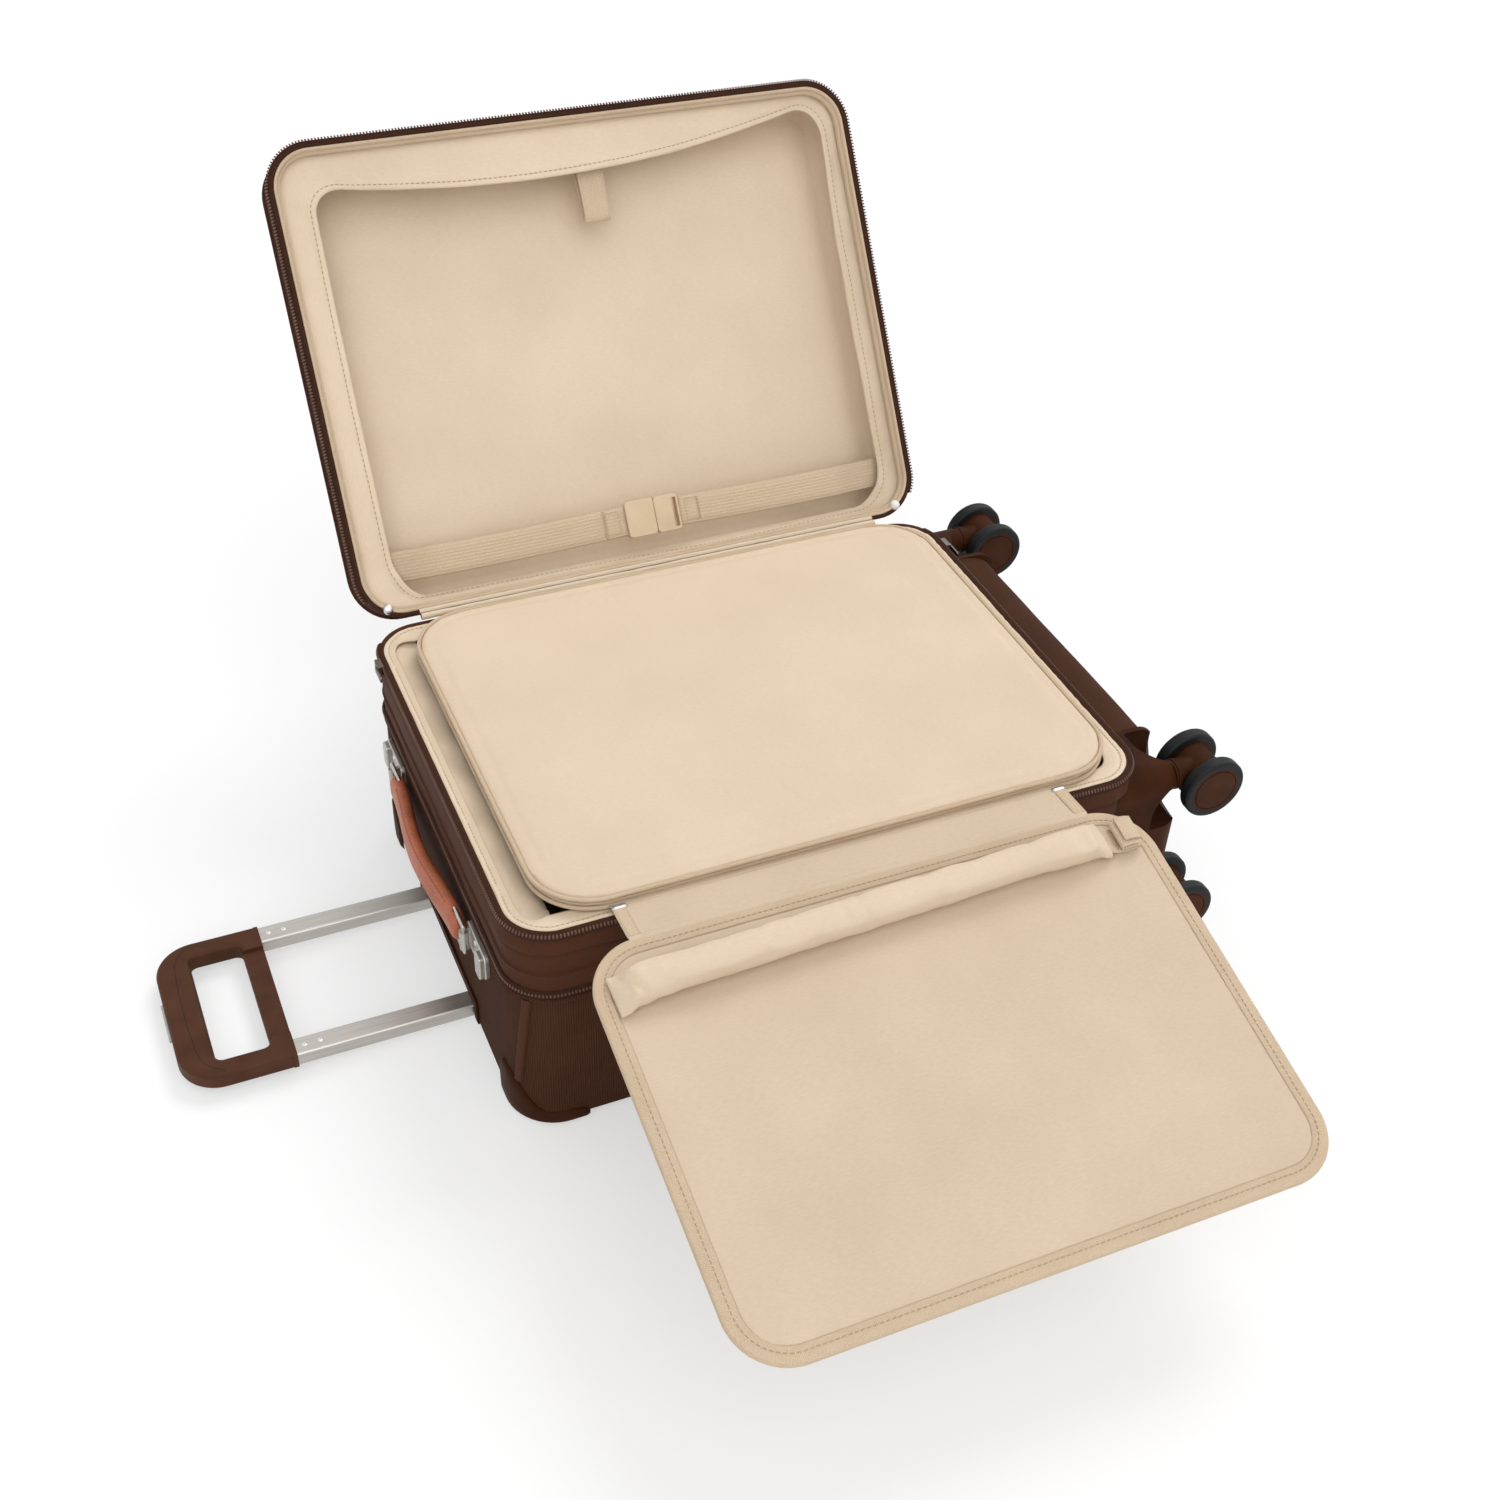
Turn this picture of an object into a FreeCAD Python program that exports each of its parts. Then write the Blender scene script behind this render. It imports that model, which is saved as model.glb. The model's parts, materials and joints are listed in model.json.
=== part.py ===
import FreeCAD, Part
import math
import os

V = FreeCAD.Vector
X_AXIS = V(1, 0, 0)
Y_AXIS = V(0, 1, 0)
Z_AXIS = V(0, 0, 1)
ORIGIN = V(0, 0, 0)

# The case lies on its back. X runs from the trolley grip to the wheels, Y from the
# opening side to the hinge side and Z up. All sizes are in millimetres.

# Tub
BODY_HALF_LENGTH = 290.0
BODY_HALF_WIDTH = 220.0
RIM_Z = 228.0
CORNER_RADIUS = 42.0
WALL = 5.0
SKIRT_Z = 3.0
SKIRT_WALL = 12.0
BOTTOM_ROUND = 9.0
FLOOR_Z = 31.0
FLOOR_THICKNESS = 4.0
PIPING_PROUD = 2.0
PIPING_HEIGHT = 4.4
UPPER_PIPING_Z = 206.0
LOWER_PIPING_Z = 152.0
LINING = 1.6
LIP_DROP = 2.0
LIP_WIDTH = 20.0

# Clearances
FIT = 0.1
SEAT = 0.3
RUNNING = 0.06
OVERCUT = 1.0

# Zips
ZIP_PROUD = 2.5
ZIP_HEIGHT = 5.0
ZIP_RIM_GAP = 2.0
ZIP_HINGE_GAP = 20.0
EXPANSION_ZIP_Z = 160.0
SLIDER_LENGTH = 14.0
SLIDER_WALL = 2.4
SLIDER_FLOOR = 3.6
PULL_LENGTH = 20.0
PULL_WIDTH = 6.0
PULL_THICKNESS = 1.6
HANGING = 0.0
ALONG_BEAD = -90.0
MAIN_SLIDER_INSET = 52.0
EXPANSION_SLIDER_INSET = 90.0

# Back cover and skids
COVER_THICKNESS = 3.0
COVER_RIB_WIDTH = 9.0
COVER_RIB_HEIGHT = 1.6
COVER_RIB_PITCH = 58.0
COVER_RIB_COUNT = 4
SKID_WIDTH = 18.0
SKID_INSET = 38.0
SKID_END_GAP = 20.0

# Wheel end
BOOT_DEPTH = 52.0
BOOT_TOP_Z = 217.5
BOOT_BOTTOM_Z = 8.0
BOOT_SIDE_GAP = 3.0
BOOT_WALL = 4.0
BOOT_PLAN_ROUND = 24.0
BOOT_WRAP = 28.0
BOOT_TOP_ROUND = 22.0
BOOT_BOTTOM_ROUND = 10.0
BOOT_RIB = 3.0
BOOT_RIB_PITCH = 72.0
RECESS_DEPTH = 37.0
RECESS_FLARE = 8.0
HORN_BASE_RADIUS = 34.0
HORN_TIP_RADIUS = 13.5
HORN_HOLLOW = 5.0
HORN_LENGTH = 21.0
HOUSING_WIDTH = 68.0

# Casters
PIVOT_INSET = 18.0
UPPER_PIVOT_Z = 201.5
LOWER_PIVOT_Z = 51.0
SWEEP_RADIUS = 48.0
STEM_RADIUS = 5.5
STEM_LENGTH = 22.0
BUSH_RADIUS = 9.5
BUSH_FLANGE_RADIUS = 13.4
BUSH_FLANGE = 2.0
CROWN_RADIUS = 14.0
CROWN_THICKNESS = 2.5
AXLE_REACH = 30.5
TRAIL = 7.0
WHEEL_RADIUS = 30.0
WHEEL_WIDTH = 12.5
WHEEL_GAP = 30.0
TYRE_DEPTH = 6.5
TYRE_ROUND = 3.0
HUB_FACE = 3.0
HUB_GROOVE_INSET = 2.2
HUB_GROOVE = 0.9
AXLE_RADIUS = 4.0
FORK_WEB = 27.0
FORK_HOOD_RADIUS = 23.0
FORK_NECK_RADIUS = 13.0

# Lid
LID_REST_OPEN = 124.0
LID_GAP = 6.0
LID_DEPTH = 65.0
LID_WALL = 4.0
LID_EDGE_ROUND = 20.0
HINGE_PROUD = 2.2
HINGE_LIFT = 3.0
HINGE_CORD_RADIUS = 3.4
HINGE_CORD_GAP = 52.0
FRAME_SET_BACK = 12.5
FRAME_THICKNESS = 1.8
FRAME_LEFT = 40.0
FRAME_RIGHT = 25.0
FRAME_HINGE_SIDE = 28.0
FRAME_TOP_LEFT = 38.0
FRAME_TOP_RIGHT = 17.0
FRAME_TOP_MIDDLE = 56.0
FRAME_CORNER = 30.0
LOOP_X = 20.0
LOOP_WIDTH = 27.0
LOOP_REACH = 96.0
LOOP_OPEN = 7.0
WEBBING = 1.7
LOOP_SET_BACK = 28.0
BELT_INSET = 48.0
BELT_WIDTH = 29.0
BELT_SET_BACK = 20.0
BUCKLE_X = 13.0
BUCKLE_LENGTH = 56.0
BUCKLE_WIDTH = 36.0
BUCKLE_THICKNESS = 9.0
BUCKLE_WALL = 2.4
BUCKLE_SOCKET_SHARE = 30.0
PRONG_WIDTH = 6.0
POCKET_RISE = 10.0
POCKET_SIDE_GAP = 28.0
POCKET_ROUND = 8.0
POCKET_CORNER = 26.0
POCKET_ZIP_X = -74.0
POCKET_ZIP_STRIP = 18.0
POCKET_END_MARGIN = 26.0
POCKET_SLIDER_INSET = 70.0

# Garment folder
PANEL_LEFT_GAP = 34.0
PANEL_RIGHT_GAP = 22.0
PANEL_SIDE_GAP = 14.0
PANEL_THICKNESS = 16.0
PANEL_CORNER = 52.0
PANEL_CROWN = 3.0
PANEL_END_LIFT = 0.5
PANEL_EDGE_ROUND = 3.0
HINGE_TAPE_GAP = 60.0
PIPING_RING = 3.0
PIPING_RING_HEIGHT = 4.0
PIPING_RING_INSET = 3.5
STRIP_LENGTH = 40.0
STRIP_THICKNESS = 1.6
STRIP_END_INSET = 84.0
STRIP_RISE_DEG = 3.2
STRIP_HINGE_LIFT = 3.3
STRIP_HINGE_GAP = 1.1
STRIP_OVERHANG = 0.5
STRIP_END_GAP = 0.9
TAB_INSET = 12.0
TAB_WIDTH = 18.0
TAB_THICKNESS = 1.4
TAB_SET_BACK = 2.0
TAB_ROUND = 2.0
FLAP_END_INSET = 41.0
FLAP_REACH = 351.0
FLAP_THICKNESS = 5.0
FLAP_CORNER = 48.0
FLAP_SLOPE_DEG = 14.2
BINDING_WIDTH = 14.0
BINDING_EXTRA = 1.4
ROLLER_LEFT_INSET = 13.0
ROLLER_RIGHT_INSET = 46.0
ROLLER_WIDTH = 38.0
ROLLER_HEIGHT = 28.0
ROLLER_OFFSET = 42.0
ROLLER_SKEW_DEG = 1.9
ROLLER_END_ROUND = 7.0
STRAP_WIDTH = 25.0
STRAP_HEIGHT = 20.0
STRAP_LENGTH = 36.0
STRAP_STEP = 18.0

# Trolley
TUBE_SPACING = 146.0
TUBE_Z = 17.0
INNER_TUBE_WIDTH = 20.0
INNER_TUBE_HEIGHT = 14.0
TUBE_WALL = 1.3
TUBE_CLEARANCE = 0.3
TUBE_ROUND = 2.0
OUTER_TUBE_INSET = 98.0
TUBE_STEP_BACK = 5.0
TUBE_END_GAP = 14.0
INNER_TUBE_EXTRA = 9.0
SADDLE_LENGTH = 30.0
SADDLE_INSET = 60.0
GRIP_DRAWN_OUT = 159.0
GRIP_LENGTH = 97.0
GRIP_HALF_WIDTH = 84.0
GRIP_THICKNESS = 18.5
GRIP_BAR = 31.0
GRIP_CROSSBAR = 19.0
GRIP_CROSSBAR_DROP = 4.0
GRIP_PAD = 9.0
GRIP_COLLAR = 1.8
GRIP_COLLAR_LENGTH = 4.0
GRIP_ARM = 19.0
GRIP_OUTER_ROUND = 36.0
GRIP_HOLE_ROUND = 7.0
GRIP_EDGE_ROUND = 4.5
GRIP_SOCKET = 15.0
CUP_MARGIN = 1.5
CUP_RIM = 5.0
CUP_THICKNESS = 2.0
BUTTON_LENGTH = 44.0
BUTTON_HEIGHT = 8.5
BUTTON_DEPTH = 12.0
BUTTON_PROUD = 2.0
BUTTON_TRAVEL = 4.0

# Carry handles, one on the handle end and one on the opening side
TOP_HANDLE_Y = 12.0
TOP_HANDLE_Z = 128.0
SIDE_HANDLE_X = 0.0
SIDE_HANDLE_Z = 106.0
HANDLE_HALF_SPAN = 114.0
LINK_REACH = 24.0
LINK_HALF_HEIGHT = 15.0
LINK_ROD = 2.0
LINK_STAND_OFF = 9.5
BRACKET_WIDTH = 52.0
BRACKET_HEIGHT = 28.0
BRACKET_PLATE = 4.0
BRACKET_EASE = 1.0
BRACKET_CORNER = 6.0
BRACKET_OUTSET = 16.0
BLOCK_LENGTH = 13.0
BLOCK_RISE = 9.0
BLOCK_INSET = 2.0
BLOCK_ROUND = 2.0
BARREL_RADIUS = 4.2
BARREL_HALF_HEIGHT = 10.0
GRIP_LEATHER_THICKNESS = 15.0
GRIP_LEATHER_END_HALF = 12.3
GRIP_LEATHER_MID_HALF = 17.0
GRIP_LEATHER_BOW = 8.0
GRIP_LEATHER_ROUND = 5.5
LEATHER_STEPS = 6
GRIP_TUNNEL_BACK = 2.4
GRIP_TUNNEL_LENGTH = 10.0
GRIP_TUNNEL_HALF = 2.9
GRIP_TUNNEL_WALL = 4.4

# Corner guards at the handle end
GUARD_THICKNESS = 3.0
GUARD_REACH = 60.0
GUARD_HEIGHT = 46.0

# Worked-out places
ZIP_HINGE_STOP = BODY_HALF_WIDTH - ZIP_HINGE_GAP
MAIN_SLIDER_Y = BODY_HALF_WIDTH - MAIN_SLIDER_INSET
EXPANSION_SLIDER_X = -BODY_HALF_LENGTH + EXPANSION_SLIDER_INSET
SKID_Y = BODY_HALF_WIDTH - SKID_INSET
BOOT_HALF_WIDTH = BODY_HALF_WIDTH - BOOT_SIDE_GAP
BOOT_WRAP_X = BODY_HALF_LENGTH - BOOT_WRAP
HOUSING_SPLIT_Y = BOOT_HALF_WIDTH - HOUSING_WIDTH
PIVOT_Y = BODY_HALF_WIDTH - PIVOT_INSET
HINGE_Y = BODY_HALF_WIDTH + HINGE_PROUD
HINGE_CORD_HALF = BODY_HALF_LENGTH - HINGE_CORD_GAP
BELT_Y = BODY_HALF_WIDTH - BELT_INSET
POCKET_HALF_WIDTH = BODY_HALF_WIDTH - POCKET_SIDE_GAP
POCKET_SLIDER_Y = -BODY_HALF_WIDTH + POCKET_SLIDER_INSET
PANEL_LEFT_X = -BODY_HALF_LENGTH + PANEL_LEFT_GAP
PANEL_RIGHT_X = BODY_HALF_LENGTH - PANEL_RIGHT_GAP
PANEL_FAR_Y = BODY_HALF_WIDTH - PANEL_SIDE_GAP
PANEL_NEAR_Y = -PANEL_FAR_Y
HINGE_TAPE_HALF = BODY_HALF_LENGTH - HINGE_TAPE_GAP
STRIP_HALF_LENGTH = BODY_HALF_LENGTH - STRIP_END_INSET
TAB_X = STRIP_HALF_LENGTH - TAB_INSET
FLAP_HALF_LENGTH = BODY_HALF_LENGTH - FLAP_END_INSET
ROLLER_LEFT_X = -FLAP_HALF_LENGTH + ROLLER_LEFT_INSET
ROLLER_RIGHT_X = FLAP_HALF_LENGTH - ROLLER_RIGHT_INSET
STRAP_X = ROLLER_RIGHT_X + STRAP_STEP
OUTER_TUBE_START = -BODY_HALF_LENGTH + OUTER_TUBE_INSET
OUTER_TUBE_LENGTH = BODY_HALF_LENGTH - SKIRT_WALL - TUBE_END_GAP - OUTER_TUBE_START
INNER_TUBE_LENGTH = OUTER_TUBE_LENGTH + INNER_TUBE_EXTRA
GRIP_ROOT_X = -BODY_HALF_LENGTH - GRIP_DRAWN_OUT
GRIP_END_X = GRIP_ROOT_X - GRIP_LENGTH
LID_RIM_Z = RIM_Z + LID_GAP
LID_TOP_Z = LID_RIM_Z + LID_DEPTH
HINGE_POINT = V(0, HINGE_Y, RIM_Z + HINGE_LIFT)
LIP_Z = RIM_Z - LIP_DROP
PANEL_BOTTOM_Z = LIP_Z + SEAT
BOOT_END_X = BODY_HALF_LENGTH + BOOT_DEPTH
RECESS_X = BOOT_END_X - RECESS_DEPTH
HORN_X = RECESS_X + HORN_LENGTH
FORK_X = HORN_X + BUSH_FLANGE + SEAT
AXLE_X = FORK_X + AXLE_REACH
GRIP_RECESS_X = OUTER_TUBE_START - TUBE_STEP_BACK * 2
STRIP_HINGE_POINT = V(0, PANEL_NEAR_Y - PIPING_RING - STRIP_HINGE_GAP, RIM_Z + STRIP_HINGE_LIFT)
FLAP_HINGE_POINT = STRIP_HINGE_POINT + V(
    0,
    -STRIP_LENGTH * math.cos(math.radians(STRIP_RISE_DEG)),
    STRIP_LENGTH * math.sin(math.radians(STRIP_RISE_DEG)),
)


# General shapes

def box(x0, x1, y0, y1, z0, z1):
    return Part.makeBox(x1 - x0, y1 - y0, z1 - z0, V(x0, y0, z0))


def rounded_face(x0, x1, y0, y1, radius, z):
    """Rectangle in plan with round corners."""
    corners = [(x1 - radius, y1 - radius, 0), (x0 + radius, y1 - radius, 90),
               (x0 + radius, y0 + radius, 180), (x1 - radius, y0 + radius, 270)]
    arcs = []
    for centre_x, centre_y, start in corners:
        circle = Part.Circle(V(centre_x, centre_y, z), Z_AXIS, radius)
        arcs.append(Part.Arc(circle, math.radians(start), math.radians(start + 90)).toShape())
    edges = []
    for index, arc in enumerate(arcs):
        following = arcs[(index + 1) % len(arcs)]
        first = arc.Vertexes[-1].Point
        last = following.Vertexes[0].Point
        edges.append(arc)
        if (last - first).Length > FIT / 10:
            edges.append(Part.LineSegment(first, last).toShape())
    return Part.Face(Part.Wire(edges))


def slab(x0, x1, y0, y1, z0, z1, radius):
    return rounded_face(x0, x1, y0, y1, radius, z0).extrude(V(0, 0, z1 - z0))


def body_slab(offset, z0, z1):
    """Plan of the body, grown outward by an offset, between two heights."""
    half_length = BODY_HALF_LENGTH + offset
    half_width = BODY_HALF_WIDTH + offset
    return slab(-half_length, half_length, -half_width, half_width, z0, z1, CORNER_RADIUS + offset)


def body_ring(inner_offset, outer_offset, z0, z1):
    return body_slab(outer_offset, z0, z1).cut(body_slab(inner_offset, z0 - OVERCUT, z1 + OVERCUT))


def level_edges(shape, z):
    edges = []
    for edge in shape.Edges:
        bounds = edge.BoundBox
        if abs(bounds.ZMin - z) < FIT / 10 and abs(bounds.ZMax - z) < FIT / 10:
            edges.append(edge)
    return edges


def rounded_at(shape, z, radius):
    return shape.makeFillet(radius, level_edges(shape, z))


def soft_slab(x0, x1, y0, y1, z0, z1, radius, edge_round):
    """Slab with its upper and lower edges rounded."""
    shape = rounded_at(slab(x0, x1, y0, y1, z0, z1, radius), z1, edge_round)
    return rounded_at(shape, z0, edge_round)


def rod(start, end, radius):
    line = end - start
    return Part.makeCylinder(radius, line.Length, start, line)


def racetrack(width, height, length):
    """Flat oval in the YZ plane, run along X from the origin."""
    flat = max(width - height, FIT) / 2
    end_round = height / 2
    right = Part.Arc(V(0, flat, -end_round), V(0, flat + end_round, 0), V(0, flat, end_round)).toShape()
    left = Part.Arc(V(0, -flat, end_round), V(0, -flat - end_round, 0), V(0, -flat, -end_round)).toShape()
    top = Part.LineSegment(V(0, flat, end_round), V(0, -flat, end_round)).toShape()
    bottom = Part.LineSegment(V(0, -flat, -end_round), V(0, flat, -end_round)).toShape()
    return Part.Face(Part.Wire([right, top, left, bottom])).extrude(V(length, 0, 0))


def webbing_loop(width, height, length):
    """Band of webbing sewn into a flat loop, with its opening along X."""
    inner = racetrack(width - 2 * WEBBING, height - 2 * WEBBING, length + 2 * OVERCUT)
    inner.translate(V(-OVERCUT, 0, 0))
    return racetrack(width, height, length).cut(inner)


def turned(shape, centre, axis, degrees):
    copy = shape.copy()
    copy.rotate(centre, axis, degrees)
    return copy


def moved(shape, shift):
    copy = shape.copy()
    copy.translate(shift)
    return copy


def save(node, *shapes):
    solids = []
    for shape in shapes:
        solids.extend(shape.Solids)
    result = solids[0] if len(solids) == 1 else Part.makeCompound(solids)
    result.exportStep(f"parts/{node}.step")


# Tub

def behind_boot():
    """Room that the wheel end covers, where the walls carry no seams."""
    side = BODY_HALF_WIDTH + 2 * ZIP_PROUD
    return box(BOOT_WRAP_X, BOOT_END_X, -side, side, 0, BOOT_TOP_Z)


def piping_line(z):
    """Corded seam round the walls, left off behind the wheel end."""
    ring = body_ring(-WALL / 2, PIPING_PROUD, z - PIPING_HEIGHT / 2, z + PIPING_HEIGHT / 2)
    return ring.cut(behind_boot())


def grip_opening(margin):
    half_width = GRIP_HALF_WIDTH + margin
    outside = -BODY_HALF_LENGTH - PIPING_PROUD - OVERCUT
    return box(outside, -BODY_HALF_LENGTH + SKIRT_WALL + OVERCUT, -half_width, half_width,
               SKIRT_Z - OVERCUT, FLOOR_Z)


def make_tub_shell():
    outer = rounded_at(body_slab(0, SKIRT_Z, RIM_Z), SKIRT_Z, BOTTOM_ROUND)
    shell = outer.cut(body_slab(-WALL, FLOOR_Z + FLOOR_THICKNESS, RIM_Z + OVERCUT))
    shell = shell.cut(body_slab(-SKIRT_WALL, SKIRT_Z - OVERCUT, FLOOR_Z))
    shell = shell.fuse([piping_line(UPPER_PIPING_Z), piping_line(LOWER_PIPING_Z)])
    save("tub_shell", shell.cut(grip_opening(CUP_MARGIN + CUP_THICKNESS)))


def make_tub_lining():
    inset = -WALL - FIT
    floor_top = FLOOR_Z + FLOOR_THICKNESS
    outer = body_slab(inset, floor_top, LIP_Z)
    inner = body_slab(inset - LINING, floor_top + LINING, LIP_Z - LINING)
    mouth = body_slab(inset - LIP_WIDTH, LIP_Z - LINING - OVERCUT, LIP_Z + OVERCUT)
    save("tub_lining", outer.cut(inner).cut(mouth))


def zip_bead(z0):
    """Zip tape with its teeth, stopped short of the hinge side."""
    ring = body_ring(0, ZIP_PROUD, z0, z0 + ZIP_HEIGHT)
    reach = BODY_HALF_LENGTH + ZIP_PROUD + OVERCUT
    hinge_side = box(-reach, reach, ZIP_HINGE_STOP, BODY_HALF_WIDTH + ZIP_PROUD + OVERCUT,
                     z0 - OVERCUT, z0 + ZIP_HEIGHT + OVERCUT)
    return ring.cut(hinge_side)


def make_zips():
    save("tub_zip", zip_bead(RIM_Z - ZIP_RIM_GAP - ZIP_HEIGHT))
    lower = EXPANSION_ZIP_Z - ZIP_HEIGHT / 2
    ring = body_ring(0, ZIP_PROUD, lower, lower + ZIP_HEIGHT)
    save("expansion_zip", ring.cut(behind_boot()))


def zip_slider(pull_turn):
    """Slider on a bead that runs along Y on a wall facing -X, its pull turned from hanging down."""
    depth = ZIP_PROUD + SLIDER_FLOOR
    half_height = ZIP_HEIGHT / 2 + SLIDER_WALL
    half_length = SLIDER_LENGTH / 2
    body = box(-depth, -SEAT, -half_length, half_length, -half_height, half_height)
    body = body.makeFillet(SLIDER_WALL / 2, [e for e in body.Edges if e.BoundBox.XMax < -depth + FIT])
    channel = box(-ZIP_PROUD - SEAT, OVERCUT, -SLIDER_LENGTH, SLIDER_LENGTH,
                  -ZIP_HEIGHT / 2 - SEAT, ZIP_HEIGHT / 2 + SEAT)
    pull = slab(-PULL_WIDTH / 2, PULL_WIDTH / 2, -PULL_LENGTH, 0, 0, PULL_THICKNESS, PULL_WIDTH / 3)
    pull = turned(turned(pull, ORIGIN, X_AXIS, 90), ORIGIN, Z_AXIS, -90)
    pull = turned(moved(pull, V(-depth + SEAT, 0, 0)), ORIGIN, X_AXIS, pull_turn)
    return body.cut(channel).fuse(pull)


def make_sliders():
    main_z = RIM_Z - ZIP_RIM_GAP - ZIP_HEIGHT / 2
    left = moved(zip_slider(ALONG_BEAD), V(-BODY_HALF_LENGTH, MAIN_SLIDER_Y, main_z))
    right = turned(zip_slider(-ALONG_BEAD), ORIGIN, Z_AXIS, 180)
    save("main_slider_left", left)
    save("main_slider_right", moved(right, V(BODY_HALF_LENGTH, MAIN_SLIDER_Y, main_z)))
    near = turned(zip_slider(HANGING), ORIGIN, Z_AXIS, 90)
    save("expansion_slider", moved(near, V(EXPANSION_SLIDER_X, -BODY_HALF_WIDTH, EXPANSION_ZIP_Z)))


def make_back_cover():
    cover = body_slab(-SKIRT_WALL - FIT, SKIRT_Z, SKIRT_Z + COVER_THICKNESS)
    cover = cover.cut(box(-BODY_HALF_LENGTH, GRIP_RECESS_X, -BODY_HALF_WIDTH, BODY_HALF_WIDTH, 0, RIM_Z))
    start = GRIP_RECESS_X + SKID_END_GAP
    end = BODY_HALF_LENGTH - SKIRT_WALL - SKID_END_GAP
    ribs = []
    for index in range(COVER_RIB_COUNT):
        centre = (index - (COVER_RIB_COUNT - 1) / 2) * COVER_RIB_PITCH
        ribs.append(slab(start, end, centre - COVER_RIB_WIDTH / 2, centre + COVER_RIB_WIDTH / 2,
                         SKIRT_Z - COVER_RIB_HEIGHT, SKIRT_Z, COVER_RIB_WIDTH / 3))
    save("back_cover", cover.fuse(ribs))
    skids = []
    for centre in (-SKID_Y, 0, SKID_Y):
        skid = slab(start, end, centre - SKID_WIDTH / 2, centre + SKID_WIDTH / 2, 0, SKIRT_Z, SKID_WIDTH / 3)
        skids.append(rounded_at(skid, 0, SKIRT_Z / 3))
    save("skid_rails", *skids)


def make_corner_guards():
    """Moulded caps over the two lower corners at the handle end."""
    wrap = rounded_at(body_slab(GUARD_THICKNESS, SKIRT_Z, SKIRT_Z + GUARD_HEIGHT),
                      SKIRT_Z + GUARD_HEIGHT, GUARD_THICKNESS / 2)
    wrap = rounded_at(wrap, SKIRT_Z, BOTTOM_ROUND)
    wrap = wrap.cut(rounded_at(body_slab(FIT, SKIRT_Z, RIM_Z), SKIRT_Z, BOTTOM_ROUND))
    outside = BODY_HALF_LENGTH + GUARD_THICKNESS
    guards = []
    for side in (-1, 1):
        inner = side * (BODY_HALF_WIDTH - GUARD_REACH)
        outer = side * (BODY_HALF_WIDTH + GUARD_THICKNESS)
        corner = box(-outside, -BODY_HALF_LENGTH + GUARD_REACH, min(inner, outer), max(inner, outer), 0, RIM_Z)
        guards.append(wrap.common(corner))
    save("corner_guards", *guards)


# Wheel end

def caster_pivots():
    return {
        "near_upper": V(0, -PIVOT_Y, UPPER_PIVOT_Z),
        "far_upper": V(0, PIVOT_Y, UPPER_PIVOT_Z),
        "near_lower": V(0, -PIVOT_Y, LOWER_PIVOT_Z),
        "far_lower": V(0, PIVOT_Y, LOWER_PIVOT_Z),
    }


def caster_recess(pivot):
    """Room for one caster to turn, open to the corner of the wheel end."""
    out_y = math.copysign(BODY_HALF_WIDTH, pivot.y)
    out_z = RIM_Z if pivot.z > RIM_Z / 2 else 0.0
    length = RECESS_DEPTH + OVERCUT
    turn = Part.makeCylinder(SWEEP_RADIUS, length, V(RECESS_X, pivot.y, pivot.z), X_AXIS)
    inner_y = pivot.y - math.copysign(SWEEP_RADIUS, pivot.y)
    inner_z = pivot.z - math.copysign(SWEEP_RADIUS, out_z - pivot.z)
    beside = box(RECESS_X, RECESS_X + length, min(pivot.y, out_y), max(pivot.y, out_y),
                 min(inner_z, out_z), max(inner_z, out_z))
    above = box(RECESS_X, RECESS_X + length, min(inner_y, out_y), max(inner_y, out_y),
                min(pivot.z, out_z), max(pivot.z, out_z))
    flare_x = BOOT_END_X - RECESS_FLARE
    flare = Part.makeCone(SWEEP_RADIUS, SWEEP_RADIUS + RECESS_FLARE, RECESS_FLARE + FIT, V(flare_x, pivot.y, pivot.z),
                          X_AXIS)
    return turn.fuse([beside, above, flare])


def horn_block(pivot):
    """Neck of one caster: a hollow flare that turns round the swivel's axis."""
    foot = V(RECESS_X, 0, HORN_BASE_RADIUS)
    tip = V(HORN_X, 0, HORN_TIP_RADIUS)
    chord = tip - foot
    inward = V(chord.z, 0, -chord.x)
    inward.normalize()
    middle = (foot + tip) * 0.5 + inward * HORN_HOLLOW
    curve = Part.Arc(foot, middle, tip).toShape()
    outline = [curve, Part.LineSegment(tip, V(HORN_X, 0, 0)).toShape(),
               Part.LineSegment(V(HORN_X, 0, 0), V(RECESS_X, 0, 0)).toShape(),
               Part.LineSegment(V(RECESS_X, 0, 0), foot).toShape()]
    horn = Part.Face(Part.Wire(outline)).revolve(ORIGIN, X_AXIS, 360)
    return moved(horn, V(0, pivot.y, pivot.z))


def boot_block():
    """Outer form of the wheel end, rounded in plan and along its upper and lower edges."""
    block = box(BOOT_WRAP_X, BOOT_END_X, -BOOT_HALF_WIDTH, BOOT_HALF_WIDTH, BOOT_BOTTOM_Z, BOOT_TOP_Z)
    uprights = [e for e in block.Edges if e.BoundBox.XMin > BOOT_END_X - FIT
                and e.BoundBox.ZLength > BOOT_TOP_Z / 2]
    block = block.makeFillet(BOOT_PLAN_ROUND, uprights)
    upper = [e for e in level_edges(block, BOOT_TOP_Z) if e.BoundBox.XMax > BODY_HALF_LENGTH + FIT]
    block = block.makeFillet(BOOT_TOP_ROUND, upper)
    lower = [e for e in level_edges(block, BOOT_BOTTOM_Z) if e.BoundBox.XMax > BODY_HALF_LENGTH + FIT]
    return block.makeFillet(BOOT_BOTTOM_ROUND, lower).cut(body_slab(0, 0, RIM_Z))


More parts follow.
